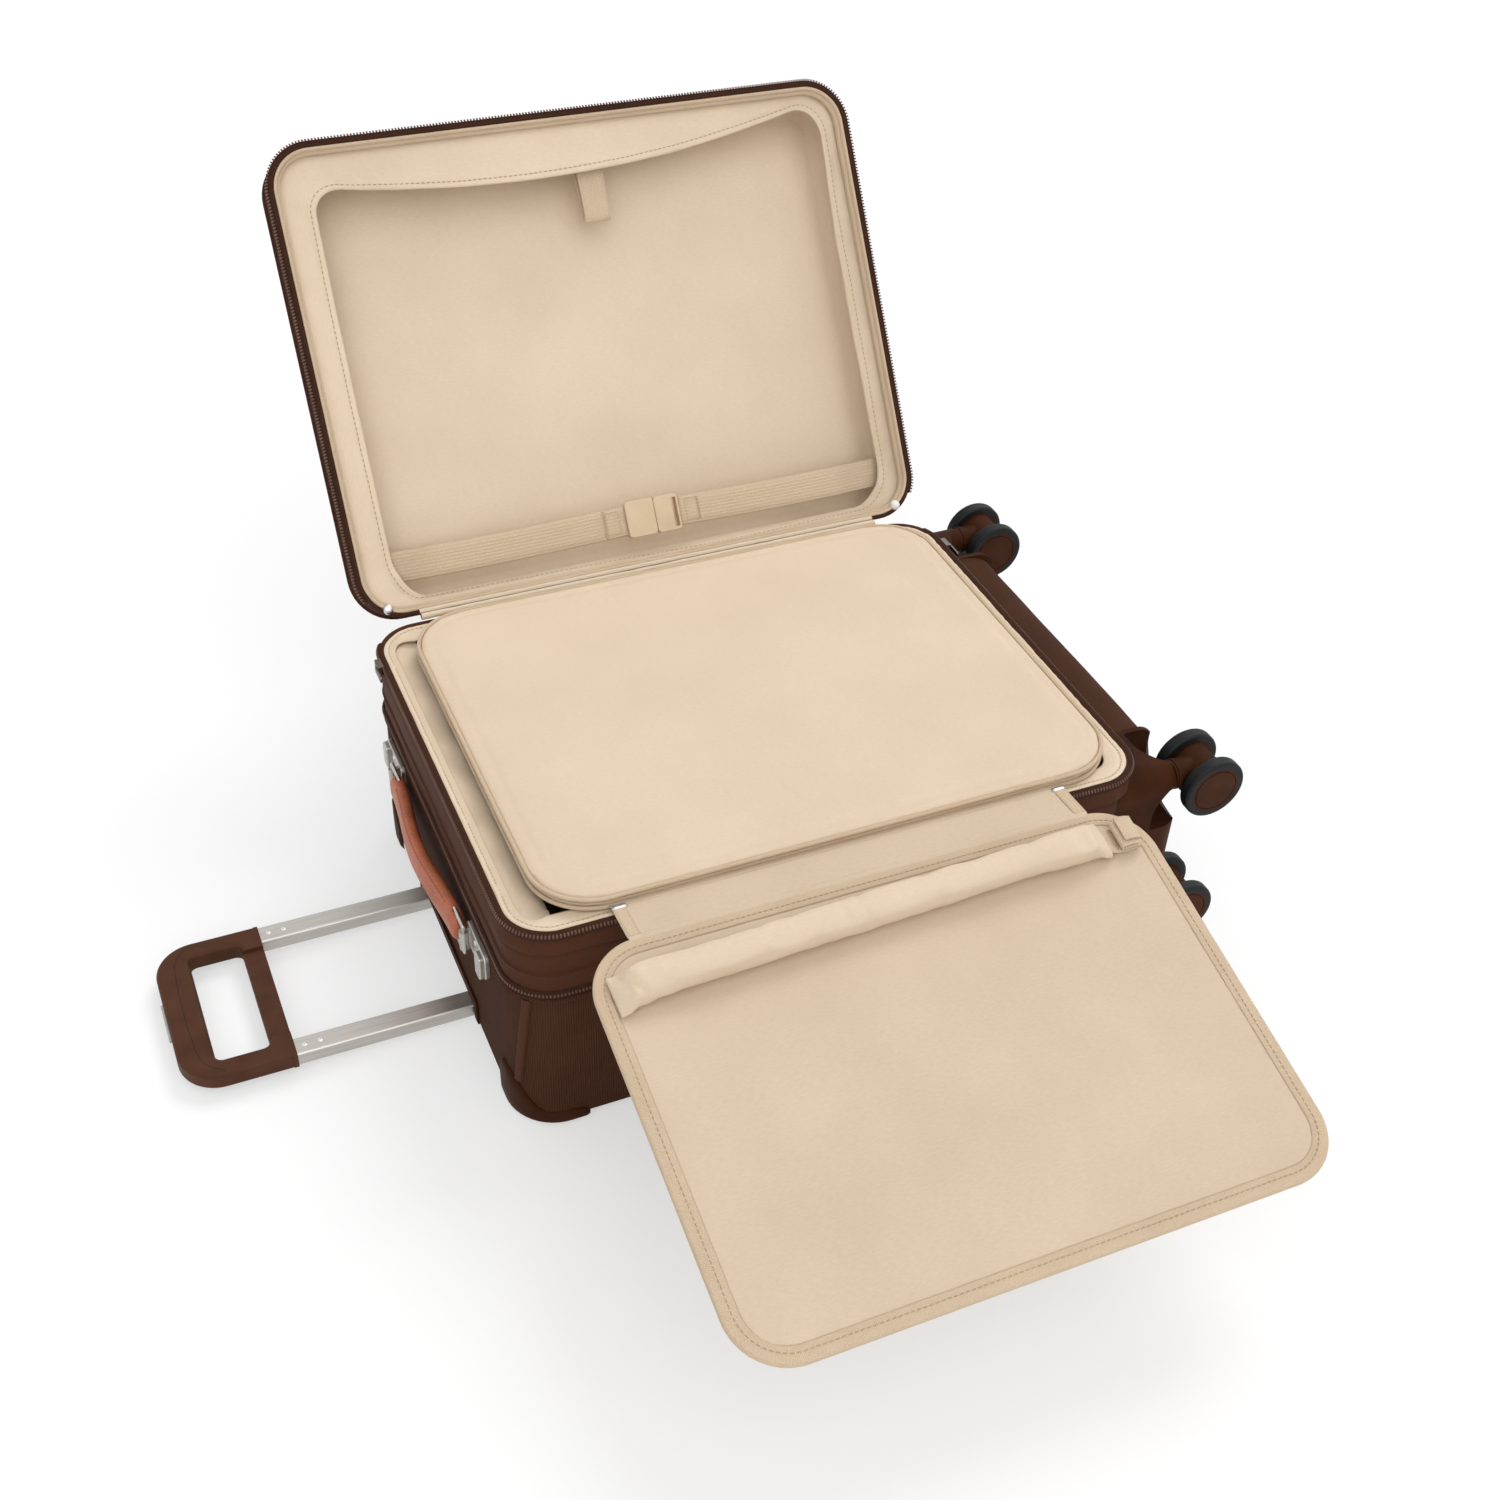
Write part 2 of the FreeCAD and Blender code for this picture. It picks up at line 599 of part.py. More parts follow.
def make_wheel_end():
    boot = boot_block()
    whole = boot.copy()
    low_z = BOOT_BOTTOM_Z + BOOT_WALL
    high_z = BOOT_TOP_Z - BOOT_TOP_ROUND
    half_width = BOOT_HALF_WIDTH - BOOT_PLAN_ROUND / 3
    deep_half = HOUSING_SPLIT_Y - BOOT_WALL
    boot = boot.cut(box(BODY_HALF_LENGTH, RECESS_X - BOOT_WALL, -half_width, half_width, low_z, high_z))
    boot = boot.cut(box(BODY_HALF_LENGTH, BOOT_END_X - BOOT_WALL, -deep_half, deep_half, low_z, high_z))
    for pivot in caster_pivots().values():
        boot = boot.cut(caster_recess(pivot)).fuse(horn_block(pivot).common(whole))
        face = V(HORN_X + OVERCUT, pivot.y, pivot.z)
        boot = boot.cut(rod(V(BODY_HALF_LENGTH, pivot.y, pivot.z), face, BUSH_RADIUS + FIT))
    middle = box(BODY_HALF_LENGTH, BOOT_END_X, -HOUSING_SPLIT_Y, HOUSING_SPLIT_Y, 0, RIM_Z)
    tray = boot.common(middle)
    ribs = []
    for place in (-1, 0, 1):
        centre = place * BOOT_RIB_PITCH
        ribs.append(box(BODY_HALF_LENGTH, BOOT_END_X - BOOT_WALL, centre - BOOT_RIB / 2, centre + BOOT_RIB / 2,
                        low_z, high_z))
    save("base_tray", tray.fuse(ribs))
    housings = boot.cut(middle)
    save("wheel_housings", housings)


def make_caster_bushes():
    bushes = []
    start = HORN_X - STEM_LENGTH - BOOT_WALL / 2
    for pivot in caster_pivots().values():
        foot = V(start, pivot.y, pivot.z)
        face = V(HORN_X, pivot.y, pivot.z)
        bush = Part.makeCylinder(BUSH_RADIUS, HORN_LENGTH + RECESS_X - start, foot, X_AXIS)
        bush = bush.fuse(Part.makeCylinder(BUSH_FLANGE_RADIUS, BUSH_FLANGE, face, X_AXIS))
        bore = rod(foot + V(BOOT_WALL / 2, 0, 0), face + V(BUSH_FLANGE + OVERCUT, 0, 0), STEM_RADIUS + RUNNING)
        bushes.append(bush.cut(bore))
    save("caster_bushes", *bushes)


def make_fork():
    """Swivel fork with its stem along X, the axle along Y and the trail towards -Z."""
    stem = Part.makeCylinder(STEM_RADIUS, STEM_LENGTH, V(FORK_X - STEM_LENGTH, 0, 0), X_AXIS)
    crown = Part.makeCylinder(CROWN_RADIUS, CROWN_THICKNESS, V(FORK_X, 0, 0), X_AXIS)
    half = FORK_WEB / 2
    axle = V(AXLE_X, -half, -TRAIL)
    hood = Part.makeCylinder(FORK_HOOD_RADIUS, FORK_WEB, axle, Y_AXIS)
    below = box(AXLE_X + AXLE_RADIUS * 2, AXLE_X + WHEEL_RADIUS, -FORK_WEB, FORK_WEB,
                -TRAIL - WHEEL_RADIUS, WHEEL_RADIUS)
    neck = rod(V(FORK_X, 0, 0), V(AXLE_X, 0, 0), FORK_NECK_RADIUS)
    neck = neck.fuse(Part.makeSphere(FORK_NECK_RADIUS, V(AXLE_X, 0, 0))).cut(below)
    bore = Part.makeCylinder(AXLE_RADIUS + RUNNING, 2 * FORK_WEB, axle - V(0, half, 0), Y_AXIS)
    return stem.fuse([crown, hood.cut(below), neck]).cut(bore)


def make_tyre(side):
    start = V(AXLE_X, side * WHEEL_GAP / 2, -TRAIL)
    tyre = Part.makeCylinder(WHEEL_RADIUS, WHEEL_WIDTH, start, Y_AXIS * side)
    rims = [e for e in tyre.Edges if e.Closed]
    tyre = tyre.makeFillet(TYRE_ROUND, rims)
    return tyre.cut(Part.makeCylinder(WHEEL_RADIUS - TYRE_DEPTH, WHEEL_WIDTH, start, Y_AXIS * side))


def make_hub(side):
    """Hub with a flat outer face and a shallow ring cut into it near its edge."""
    start = V(AXLE_X, side * WHEEL_GAP / 2, -TRAIL)
    radius = WHEEL_RADIUS - TYRE_DEPTH - RUNNING
    hub = Part.makeCylinder(radius, WHEEL_WIDTH - FIT, start, Y_AXIS * side)
    outer = start + Y_AXIS * (side * (WHEEL_WIDTH - FIT))
    groove_radius = radius - HUB_GROOVE_INSET
    groove = Part.makeCylinder(groove_radius, HUB_GROOVE, outer, Y_AXIS * -side)
    groove = groove.cut(Part.makeCylinder(groove_radius - HUB_GROOVE, HUB_GROOVE, outer, Y_AXIS * -side))
    bore = Part.makeCylinder(AXLE_RADIUS + RUNNING, WHEEL_WIDTH - HUB_FACE, start, Y_AXIS * side)
    return hub.cut(groove).cut(bore)


def make_casters():
    axle_length = WHEEL_GAP + 2 * (WHEEL_WIDTH - HUB_FACE - SEAT)
    axle = Part.makeCylinder(AXLE_RADIUS, axle_length, V(AXLE_X, -axle_length / 2, -TRAIL), Y_AXIS)
    for name, pivot in caster_pivots().items():
        save(f"fork_{name}", moved(make_fork(), pivot))
        save(f"tyres_{name}", moved(make_tyre(1), pivot), moved(make_tyre(-1), pivot))
        save(f"hubs_{name}", moved(make_hub(1), pivot), moved(make_hub(-1), pivot), moved(axle, pivot))


# Lid, drawn closed and then swung open about the hinge

def opened(shape):
    return turned(shape, HINGE_POINT, X_AXIS, -LID_REST_OPEN)


def make_lid_shell():
    outer = rounded_at(body_slab(0, LID_RIM_Z, LID_TOP_Z), LID_TOP_Z, LID_EDGE_ROUND)
    inner = body_slab(-LID_WALL, LID_RIM_Z - OVERCUT, LID_TOP_Z - LID_WALL)
    inner = rounded_at(inner, LID_TOP_Z - LID_WALL, LID_EDGE_ROUND - LID_WALL)
    ridge = body_ring(-LID_WALL / 2, PIPING_PROUD, LID_TOP_Z - LID_EDGE_ROUND - PIPING_HEIGHT,
                      LID_TOP_Z - LID_EDGE_ROUND)
    save("lid_shell", opened(outer.cut(inner).fuse(ridge)))


def make_lid_lining():
    inset = -LID_WALL - FIT
    top = LID_TOP_Z - LID_WALL - FIT
    outer = rounded_at(body_slab(inset, LID_RIM_Z, top), top, LID_EDGE_ROUND - LID_WALL - FIT)
    inner = body_slab(inset - LINING, LID_RIM_Z - OVERCUT, top - LINING)
    inner = rounded_at(inner, top - LINING, LID_EDGE_ROUND - LID_WALL - FIT - LINING)
    save("lid_lining", opened(outer.cut(inner)))
    save("lid_zip", opened(zip_bead(LID_RIM_Z + ZIP_RIM_GAP)))


def make_lid_frame():
    """Hemmed flap of cloth round the lid's mouth, with its long edge sagging."""
    edge = LID_WALL + 2 * FIT + LINING
    z0 = LID_RIM_Z + FRAME_SET_BACK
    z1 = z0 + FRAME_THICKNESS
    low = z0 - OVERCUT
    left_x = -BODY_HALF_LENGTH + FRAME_LEFT
    right_x = BODY_HALF_LENGTH - FRAME_RIGHT
    hinge_y = BODY_HALF_WIDTH - FRAME_HINGE_SIDE
    left_top = V(left_x, -BODY_HALF_WIDTH + FRAME_TOP_LEFT, low)
    right_top = V(right_x, -BODY_HALF_WIDTH + FRAME_TOP_RIGHT, low)
    middle_top = V(0, -BODY_HALF_WIDTH + FRAME_TOP_MIDDLE, low)
    right_hinge = V(right_x, hinge_y, low)
    left_hinge = V(left_x, hinge_y, low)
    sides = [
        Part.Arc(left_top, middle_top, right_top).toShape(),
        Part.LineSegment(right_top, right_hinge).toShape(),
        Part.LineSegment(right_hinge, left_hinge).toShape(),
        Part.LineSegment(left_hinge, left_top).toShape(),
    ]
    mouth = Part.Face(Part.Wire(sides)).extrude(V(0, 0, FRAME_THICKNESS + 2 * OVERCUT))
    corners = [e for e in mouth.Edges if e.BoundBox.ZLength > FRAME_THICKNESS]
    mouth = mouth.makeFillet(FRAME_CORNER, corners)
    save("lid_frame", opened(body_slab(-edge, z0, z1).cut(mouth)))


def make_hanger_loop():
    wall_y = -BODY_HALF_WIDTH + LID_WALL + LINING + 2 * FIT
    loop = webbing_loop(LOOP_REACH, LOOP_OPEN + 2 * WEBBING, LOOP_WIDTH)
    place = V(LOOP_X - LOOP_WIDTH / 2, wall_y + LOOP_REACH / 2, LID_RIM_Z + LOOP_SET_BACK)
    save("hanger_loop", opened(moved(loop, place)))


def belt_level():
    return LID_RIM_Z + BELT_SET_BACK


def make_lid_belt():
    half_width = BELT_WIDTH / 2
    half_buckle = BUCKLE_LENGTH / 2 + FIT
    low = belt_level() - WEBBING / 2
    high = belt_level() + WEBBING / 2
    room = body_slab(-LID_WALL - LINING - 2 * FIT, low, high)
    halves = [(-BODY_HALF_LENGTH, BUCKLE_X - half_buckle), (BUCKLE_X + half_buckle, BODY_HALF_LENGTH)]
    belts = []
    for start, end in halves:
        belt = box(start, end, BELT_Y - half_width, BELT_Y + half_width, low, high)
        belts.append(opened(belt.common(room)))
    save("lid_belt", *belts)


def make_buckle():
    """Side-release buckle: a socket with side windows and a tongue with two sprung prongs."""
    start = BUCKLE_X - BUCKLE_LENGTH / 2
    seam = start + BUCKLE_SOCKET_SHARE
    end = BUCKLE_X + BUCKLE_LENGTH / 2
    half_width = BUCKLE_WIDTH / 2
    low = belt_level() - BUCKLE_THICKNESS / 2
    high = belt_level() + BUCKLE_THICKNESS / 2
    socket = soft_slab(start, seam, BELT_Y - half_width, BELT_Y + half_width, low, high,
                       BUCKLE_THICKNESS / 2, BUCKLE_WALL / 2)
    cavity = box(start + 3 * BUCKLE_WALL, seam + OVERCUT, BELT_Y - half_width + BUCKLE_WALL,
                 BELT_Y + half_width - BUCKLE_WALL, low + BUCKLE_WALL, high - BUCKLE_WALL)
    window_start = start + BUCKLE_SOCKET_SHARE / 3
    window = box(window_start, seam - BUCKLE_WALL * 2, BELT_Y - BUCKLE_WIDTH, BELT_Y + BUCKLE_WIDTH,
                 low + BUCKLE_WALL, high - BUCKLE_WALL)
    save("buckle_socket", opened(socket.cut(cavity).cut(window)))

    tongue = soft_slab(seam + SEAT, end, BELT_Y - half_width, BELT_Y + half_width, low, high,
                       BUCKLE_THICKNESS / 2, BUCKLE_WALL / 2)
    tongue_slot = box(end - 3 * BUCKLE_WALL, end - BUCKLE_WALL, BELT_Y - BELT_WIDTH / 2, BELT_Y + BELT_WIDTH / 2,
                      low - OVERCUT, high + OVERCUT)
    prongs = []
    reach = start + 3 * BUCKLE_WALL + SEAT * 2
    for side in (-1, 1):
        outer = BELT_Y + side * (half_width - BUCKLE_WALL - SEAT)
        inner = outer - side * PRONG_WIDTH
        prongs.append(box(reach, seam + 2 * BUCKLE_WALL, min(inner, outer), max(inner, outer),
                          low + BUCKLE_WALL + SEAT, high - BUCKLE_WALL - SEAT))
    guide = box(reach, seam + 2 * BUCKLE_WALL, BELT_Y - BUCKLE_WALL, BELT_Y + BUCKLE_WALL,
                low + BUCKLE_WALL + SEAT, high - BUCKLE_WALL - SEAT)
    save("buckle_tongue", opened(tongue.cut(tongue_slot).fuse(prongs + [guide])))


def pocket_zip_places():
    return [POCKET_ZIP_X, -BODY_HALF_LENGTH + POCKET_END_MARGIN + POCKET_ZIP_STRIP / 2]


def make_front_pockets():
    """Two gusseted pockets on the outside of the lid, each with a zip along its upper edge."""
    half_strip = POCKET_ZIP_STRIP / 2
    lower_zip, upper_zip = pocket_zip_places()
    ends = [(lower_zip + half_strip, BODY_HALF_LENGTH - POCKET_END_MARGIN),
            (upper_zip + half_strip, lower_zip - half_strip)]
    pockets = []
    for start, end in ends:
        pocket = slab(start, end, -POCKET_HALF_WIDTH, POCKET_HALF_WIDTH, LID_TOP_Z, LID_TOP_Z + POCKET_RISE,
                      POCKET_CORNER)
        pockets.append(opened(rounded_at(pocket, LID_TOP_Z + POCKET_RISE, POCKET_ROUND)))
    save("front_pockets", *pockets)
    zips = []
    for number, place in enumerate(pocket_zip_places()):
        bead = slab(place - ZIP_HEIGHT / 2, place + ZIP_HEIGHT / 2, -POCKET_HALF_WIDTH, POCKET_HALF_WIDTH,
                    LID_TOP_Z, LID_TOP_Z + ZIP_PROUD, ZIP_HEIGHT / 3)
        zips.append(opened(bead))
        flat = turned(zip_slider(ALONG_BEAD), ORIGIN, Y_AXIS, 90)
        save(f"pocket_slider_{number + 1}", opened(moved(flat, V(place, POCKET_SLIDER_Y, LID_TOP_Z))))
    save("pocket_zips", *zips)


def make_hinges():
    """Cord that the lid swings on, and the tape that holds the middle panel to the lip."""
    reach = V(HINGE_CORD_HALF, 0, 0)
    save("hinge_cord", rod(HINGE_POINT - reach, HINGE_POINT + reach, HINGE_CORD_RADIUS))
    wall_y = BODY_HALF_WIDTH - WALL - FIT
    panel_y = PANEL_FAR_Y + PIPING_RING + SEAT
    save("hinge_tape", box(-HINGE_TAPE_HALF, HINGE_TAPE_HALF, panel_y, wall_y, LIP_Z, LIP_Z + LINING))


# Garment folder

def crown_barrel(axis, middle, chord_half, top_z):
    """Large cylinder that bows the top of a padded panel along one direction."""
    radius = (chord_half ** 2 + PANEL_CROWN ** 2) / (2 * PANEL_CROWN)
    length = 4 * BODY_HALF_LENGTH
    centre = V(middle, 0, top_z - radius) - axis * (length / 2)
    return Part.makeCylinder(radius, length, centre, axis)


def make_middle_panel():
    top = PANEL_BOTTOM_Z + PANEL_THICKNESS
    middle = (PANEL_LEFT_X + PANEL_RIGHT_X) / 2
    panel = slab(PANEL_LEFT_X, PANEL_RIGHT_X, PANEL_NEAR_Y, PANEL_FAR_Y, PANEL_BOTTOM_Z,
                 top + 2 * PANEL_CROWN, PANEL_CORNER)
    panel = panel.common(crown_barrel(X_AXIS, middle, -PANEL_NEAR_Y, top + PANEL_CROWN))
    panel = panel.common(crown_barrel(Y_AXIS, middle, PANEL_RIGHT_X - middle, top + PANEL_CROWN + PANEL_END_LIFT))
    panel = rounded_at(panel, PANEL_BOTTOM_Z, PANEL_EDGE_ROUND)
    save("middle_panel", panel)
    inner = slab(PANEL_LEFT_X, PANEL_RIGHT_X, PANEL_NEAR_Y, PANEL_FAR_Y, PANEL_BOTTOM_Z, top, PANEL_CORNER)
    half = PIPING_RING_HEIGHT / 2
    rings = []
    for level in (PANEL_BOTTOM_Z + PIPING_RING_INSET, top - PIPING_RING_INSET):
        ring = soft_slab(PANEL_LEFT_X - PIPING_RING, PANEL_RIGHT_X + PIPING_RING, PANEL_NEAR_Y - PIPING_RING,
                         PANEL_FAR_Y + PIPING_RING, level - half, level + half, PANEL_CORNER + PIPING_RING,
                         PIPING_RING / 2)
        rings.append(ring.cut(inner))
    save("middle_piping", *rings)


def make_fold_strip():
    """Gusset of cloth between the middle panel and the flap, with a tab near each end."""
    half = STRIP_THICKNESS / 2
    near = -STRIP_LENGTH + STRIP_END_GAP
    strip = box(-STRIP_HALF_LENGTH, STRIP_HALF_LENGTH, near, STRIP_OVERHANG, -half, half)
    tabs = []
    for side in (-1, 1):
        centre = side * TAB_X
        tabs.append(slab(centre - TAB_WIDTH / 2, centre + TAB_WIDTH / 2, near + TAB_SET_BACK, -STRIP_LENGTH / 2,
                         half, half + TAB_THICKNESS, TAB_ROUND))
    strip = strip.fuse(tabs)
    save("fold_strip", moved(turned(strip, ORIGIN, X_AXIS, -STRIP_RISE_DEG), STRIP_HINGE_POINT))


def sloped(shape):
    """Flap pieces are drawn flat, upper face at the hinge line and running towards -Y."""
    return moved(turned(shape, ORIGIN, X_AXIS, FLAP_SLOPE_DEG), FLAP_HINGE_POINT)


def make_flap():
    inner_half = FLAP_HALF_LENGTH - BINDING_WIDTH
    near = -FLAP_REACH + BINDING_WIDTH
    panel = slab(-inner_half, inner_half, near, -BINDING_WIDTH, -FLAP_THICKNESS, 0, FLAP_CORNER - BINDING_WIDTH)
    save("flap_panel", sloped(panel))
    high = BINDING_EXTRA / 2
    low = -FLAP_THICKNESS - high
    outer = soft_slab(-FLAP_HALF_LENGTH, FLAP_HALF_LENGTH, -FLAP_REACH, 0, low, high, FLAP_CORNER, BINDING_EXTRA)
    inner = slab(-inner_half, inner_half, near, -BINDING_WIDTH, low - OVERCUT, high + OVERCUT,
                 FLAP_CORNER - BINDING_WIDTH)
    save("flap_binding", sloped(outer.cut(inner)))


def make_roller_bar():
    """Padded roll that keeps a crease out of folded clothes, with its holding strap."""
    length = ROLLER_RIGHT_X - ROLLER_LEFT_X
    bar = racetrack(ROLLER_WIDTH, ROLLER_HEIGHT, length)
    ends = [e for e in bar.Edges if e.BoundBox.XLength < FIT]
    bar = moved(bar.makeFillet(ROLLER_END_ROUND, ends), V(ROLLER_LEFT_X, 0, ROLLER_HEIGHT / 2))
    bar = turned(bar, V(STRAP_X, 0, 0), Z_AXIS, ROLLER_SKEW_DEG)
    save("roller_bar", sloped(moved(bar, V(0, -ROLLER_OFFSET + ROLLER_HEIGHT / 3, 0))))
    strap = webbing_loop(STRAP_LENGTH, STRAP_HEIGHT, STRAP_WIDTH)
    place = V(STRAP_X - STRAP_WIDTH / 2, -ROLLER_OFFSET + ROLLER_HEIGHT / 3,
              STRAP_HEIGHT / 2 + BINDING_EXTRA / 2 + FIT)
    save("bar_strap", sloped(moved(strap, place)))


# Trolley

def tube_size(stage):
    """Width and height of a tube: stage 0 is the inner one."""
    growth = 2 * stage * (TUBE_WALL + TUBE_CLEARANCE)
    return INNER_TUBE_WIDTH + growth, INNER_TUBE_HEIGHT + growth


def tube_bar(stage, shrink, start, length, side):
    width, height = tube_size(stage)
    half_width = width / 2 - shrink
    half_height = height / 2 - shrink
    corner = TUBE_ROUND + stage * (TUBE_WALL + TUBE_CLEARANCE) - shrink
    bar = slab(-half_height, half_height, -half_width, half_width, 0, length, corner)
    bar = turned(bar, ORIGIN, Y_AXIS, 90)
    return moved(bar, V(start, side * TUBE_SPACING / 2, TUBE_Z))


def tube_pair(stage, start, length):
    tubes = []
    for side in (-1, 1):
        outer = tube_bar(stage, 0, start, length, side)
        bore = tube_bar(stage, TUBE_WALL, start - OVERCUT, length + 2 * OVERCUT, side)
        tubes.append(outer.cut(bore))
    return tubes


def make_trolley_tubes():
    width, height = tube_size(2)
    outer = tube_pair(2, OUTER_TUBE_START, OUTER_TUBE_LENGTH)
    saddled = []
    for side, tube in zip((-1, 1), outer):
        centre = side * TUBE_SPACING / 2
        saddles = []
        for place in (OUTER_TUBE_START + SADDLE_INSET, OUTER_TUBE_START + OUTER_TUBE_LENGTH - SADDLE_INSET):
            saddles.append(box(place - SADDLE_LENGTH / 2, place + SADDLE_LENGTH / 2, centre - width / 3,
                               centre + width / 3, TUBE_Z + height / 2 - TUBE_WALL, FLOOR_Z))
        saddled.append(tube.fuse(saddles))
    save("trolley_outer_tubes", *saddled)
    save("trolley_middle_tubes", *tube_pair(1, OUTER_TUBE_START - TUBE_STEP_BACK, OUTER_TUBE_LENGTH))
    save("trolley_inner_tubes", *tube_pair(0, GRIP_ROOT_X - GRIP_SOCKET, INNER_TUBE_LENGTH))


def make_grip():
    low = TUBE_Z - GRIP_THICKNESS / 2
    high = TUBE_Z + GRIP_THICKNESS / 2
    outline = slab(GRIP_END_X, GRIP_ROOT_X + GRIP_OUTER_ROUND, -GRIP_HALF_WIDTH, GRIP_HALF_WIDTH, low, high,
                   GRIP_OUTER_ROUND)
    outline = outline.cut(box(GRIP_ROOT_X, 0, -2 * GRIP_HALF_WIDTH, 2 * GRIP_HALF_WIDTH, 0, RIM_Z))
    hole = slab(GRIP_END_X + GRIP_BAR, GRIP_ROOT_X - GRIP_CROSSBAR, -GRIP_HALF_WIDTH + GRIP_ARM,
                GRIP_HALF_WIDTH - GRIP_ARM, low - OVERCUT, high + OVERCUT, GRIP_HOLE_ROUND)
    grip = outline.cut(hole)
    edges = [e for e in level_edges(grip, low) + level_edges(grip, high) if e.BoundBox.XMin < GRIP_ROOT_X - FIT]
    grip = grip.makeFillet(GRIP_EDGE_ROUND, edges)
    inner_half = GRIP_HALF_WIDTH - GRIP_ARM - GRIP_PAD
    for start, end in ((low, low + GRIP_CROSSBAR_DROP), (high - GRIP_CROSSBAR_DROP, high)):
        grip = grip.cut(box(GRIP_ROOT_X - GRIP_CROSSBAR - OVERCUT, GRIP_ROOT_X, -inner_half, inner_half, start, end))
    for side in (-1, 1):
        collar = tube_bar(0, -GRIP_COLLAR, GRIP_ROOT_X - GRIP_COLLAR_LENGTH, GRIP_COLLAR_LENGTH, side)
        socket = tube_bar(0, -FIT, GRIP_ROOT_X - GRIP_SOCKET - FIT, GRIP_SOCKET + OVERCUT, side)
        grip = grip.fuse(collar).cut(socket)
    pocket = racetrack(BUTTON_LENGTH + 2 * SEAT, BUTTON_HEIGHT + 2 * SEAT,
                       BUTTON_DEPTH - BUTTON_PROUD + BUTTON_TRAVEL + SEAT + OVERCUT)
    save("trolley_grip", grip.cut(moved(pocket, V(GRIP_END_X - OVERCUT, 0, TUBE_Z))))
    button = racetrack(BUTTON_LENGTH, BUTTON_HEIGHT, BUTTON_DEPTH)
    face = [e for e in button.Edges if e.BoundBox.XMax < FIT]
    button = button.makeFillet(BUTTON_PROUD / 2, face)
    save("release_button", moved(button, V(GRIP_END_X - BUTTON_PROUD, 0, TUBE_Z)))


def make_trolley_cup():
    """Moulded frame that lines the opening the grip slides into."""
    outer_margin = CUP_MARGIN + CUP_THICKNESS - FIT
    half_width = GRIP_HALF_WIDTH + outer_margin
    sleeve = box(-BODY_HALF_LENGTH, -BODY_HALF_LENGTH + SKIRT_WALL, -half_width, half_width, SKIRT_Z, FLOOR_Z - FIT)
    rim = box(-BODY_HALF_LENGTH - CUP_THICKNESS, -BODY_HALF_LENGTH, -half_width - CUP_RIM,
              half_width + CUP_RIM, SKIRT_Z + BOTTOM_ROUND, FLOOR_Z + CUP_RIM)
    upright = [e for e in rim.Edges if e.BoundBox.XLength > FIT and e.BoundBox.ZMin > FLOOR_Z]
    rim = rim.makeFillet(CUP_RIM, upright)
    hole = box(-BODY_HALF_LENGTH - 2 * CUP_THICKNESS, -BODY_HALF_LENGTH + 2 * SKIRT_WALL,
               -GRIP_HALF_WIDTH - CUP_MARGIN, GRIP_HALF_WIDTH + CUP_MARGIN, SKIRT_Z - OVERCUT,
               TUBE_Z + GRIP_THICKNESS / 2 + SEAT)
    save("trolley_cup", sleeve.fuse(rim).cut(hole))


# Carry handles, drawn on a wall at X = 0 that faces -X and runs along Y

def make_bracket(side):
    place = side * (HANDLE_HALF_SPAN + BRACKET_OUTSET)
    plate = slab(-BRACKET_HEIGHT / 2, BRACKET_HEIGHT / 2, place - BRACKET_WIDTH / 2, place + BRACKET_WIDTH / 2,
                 0, BRACKET_PLATE, BRACKET_CORNER)
    plate = turned(rounded_at(plate, BRACKET_PLATE, BRACKET_EASE), ORIGIN, Y_AXIS, -90)
    block_end = place + side * (BRACKET_WIDTH / 2 - BLOCK_INSET)
    block_start = block_end - side * BLOCK_LENGTH
    half_height = BRACKET_HEIGHT / 2 - BLOCK_INSET
    block = box(-BLOCK_RISE, 0, min(block_start, block_end), max(block_start, block_end), -half_height, half_height)
    block = block.makeFillet(BLOCK_ROUND, [e for e in block.Edges if e.BoundBox.XMin < -BLOCK_RISE + FIT])
    pin = side * HANDLE_HALF_SPAN
    foot = V(-LINK_STAND_OFF, pin, -BARREL_HALF_HEIGHT)
    barrel = Part.makeCylinder(BARREL_RADIUS, 2 * BARREL_HALF_HEIGHT, foot, Z_AXIS)
    web = box(-LINK_STAND_OFF, 0, pin - BARREL_RADIUS / 2, pin + BARREL_RADIUS / 2, -BARREL_HALF_HEIGHT,
              BARREL_HALF_HEIGHT)
    bore = Part.makeCylinder(LINK_ROD + RUNNING, BRACKET_HEIGHT, V(-LINK_STAND_OFF, pin, -BRACKET_HEIGHT / 2), Z_AXIS)
    return plate.fuse([block, barrel, web]).cut(bore)


def make_link(side):
    """Ring of wire from the bracket's barrel to the tunnel in the leather."""
    pin = side * HANDLE_HALF_SPAN
    far = side * (HANDLE_HALF_SPAN - LINK_REACH)
    corners = []
    for y, z in ((pin, -1), (far, -1), (far, 1), (pin, 1)):
        corners.append(V(-LINK_STAND_OFF, y, z * LINK_HALF_HEIGHT))
    pieces = []
    for index, corner in enumerate(corners):
        following = corners[(index + 1) % len(corners)]
        pieces.append(rod(corner, following, LINK_ROD))
        pieces.append(Part.makeSphere(LINK_ROD, corner))
    return pieces[0].fuse(pieces[1:])


def leather_section(y, shoulder):
    """Rounded outline of the leather at one place along it, as a wire square to Y."""
    swell = max(0.0, 1 - (y / shoulder) ** 2)
    centre = -LINK_STAND_OFF - GRIP_LEATHER_BOW * swell
    half = GRIP_LEATHER_THICKNESS / 2
    height = GRIP_LEATHER_END_HALF + (GRIP_LEATHER_MID_HALF - GRIP_LEATHER_END_HALF) * swell
    face = rounded_face(centre - half, centre + half, -height, height, GRIP_LEATHER_ROUND, 0)
    return moved(turned(face, ORIGIN, X_AXIS, 90), V(0, y, 0)).OuterWire


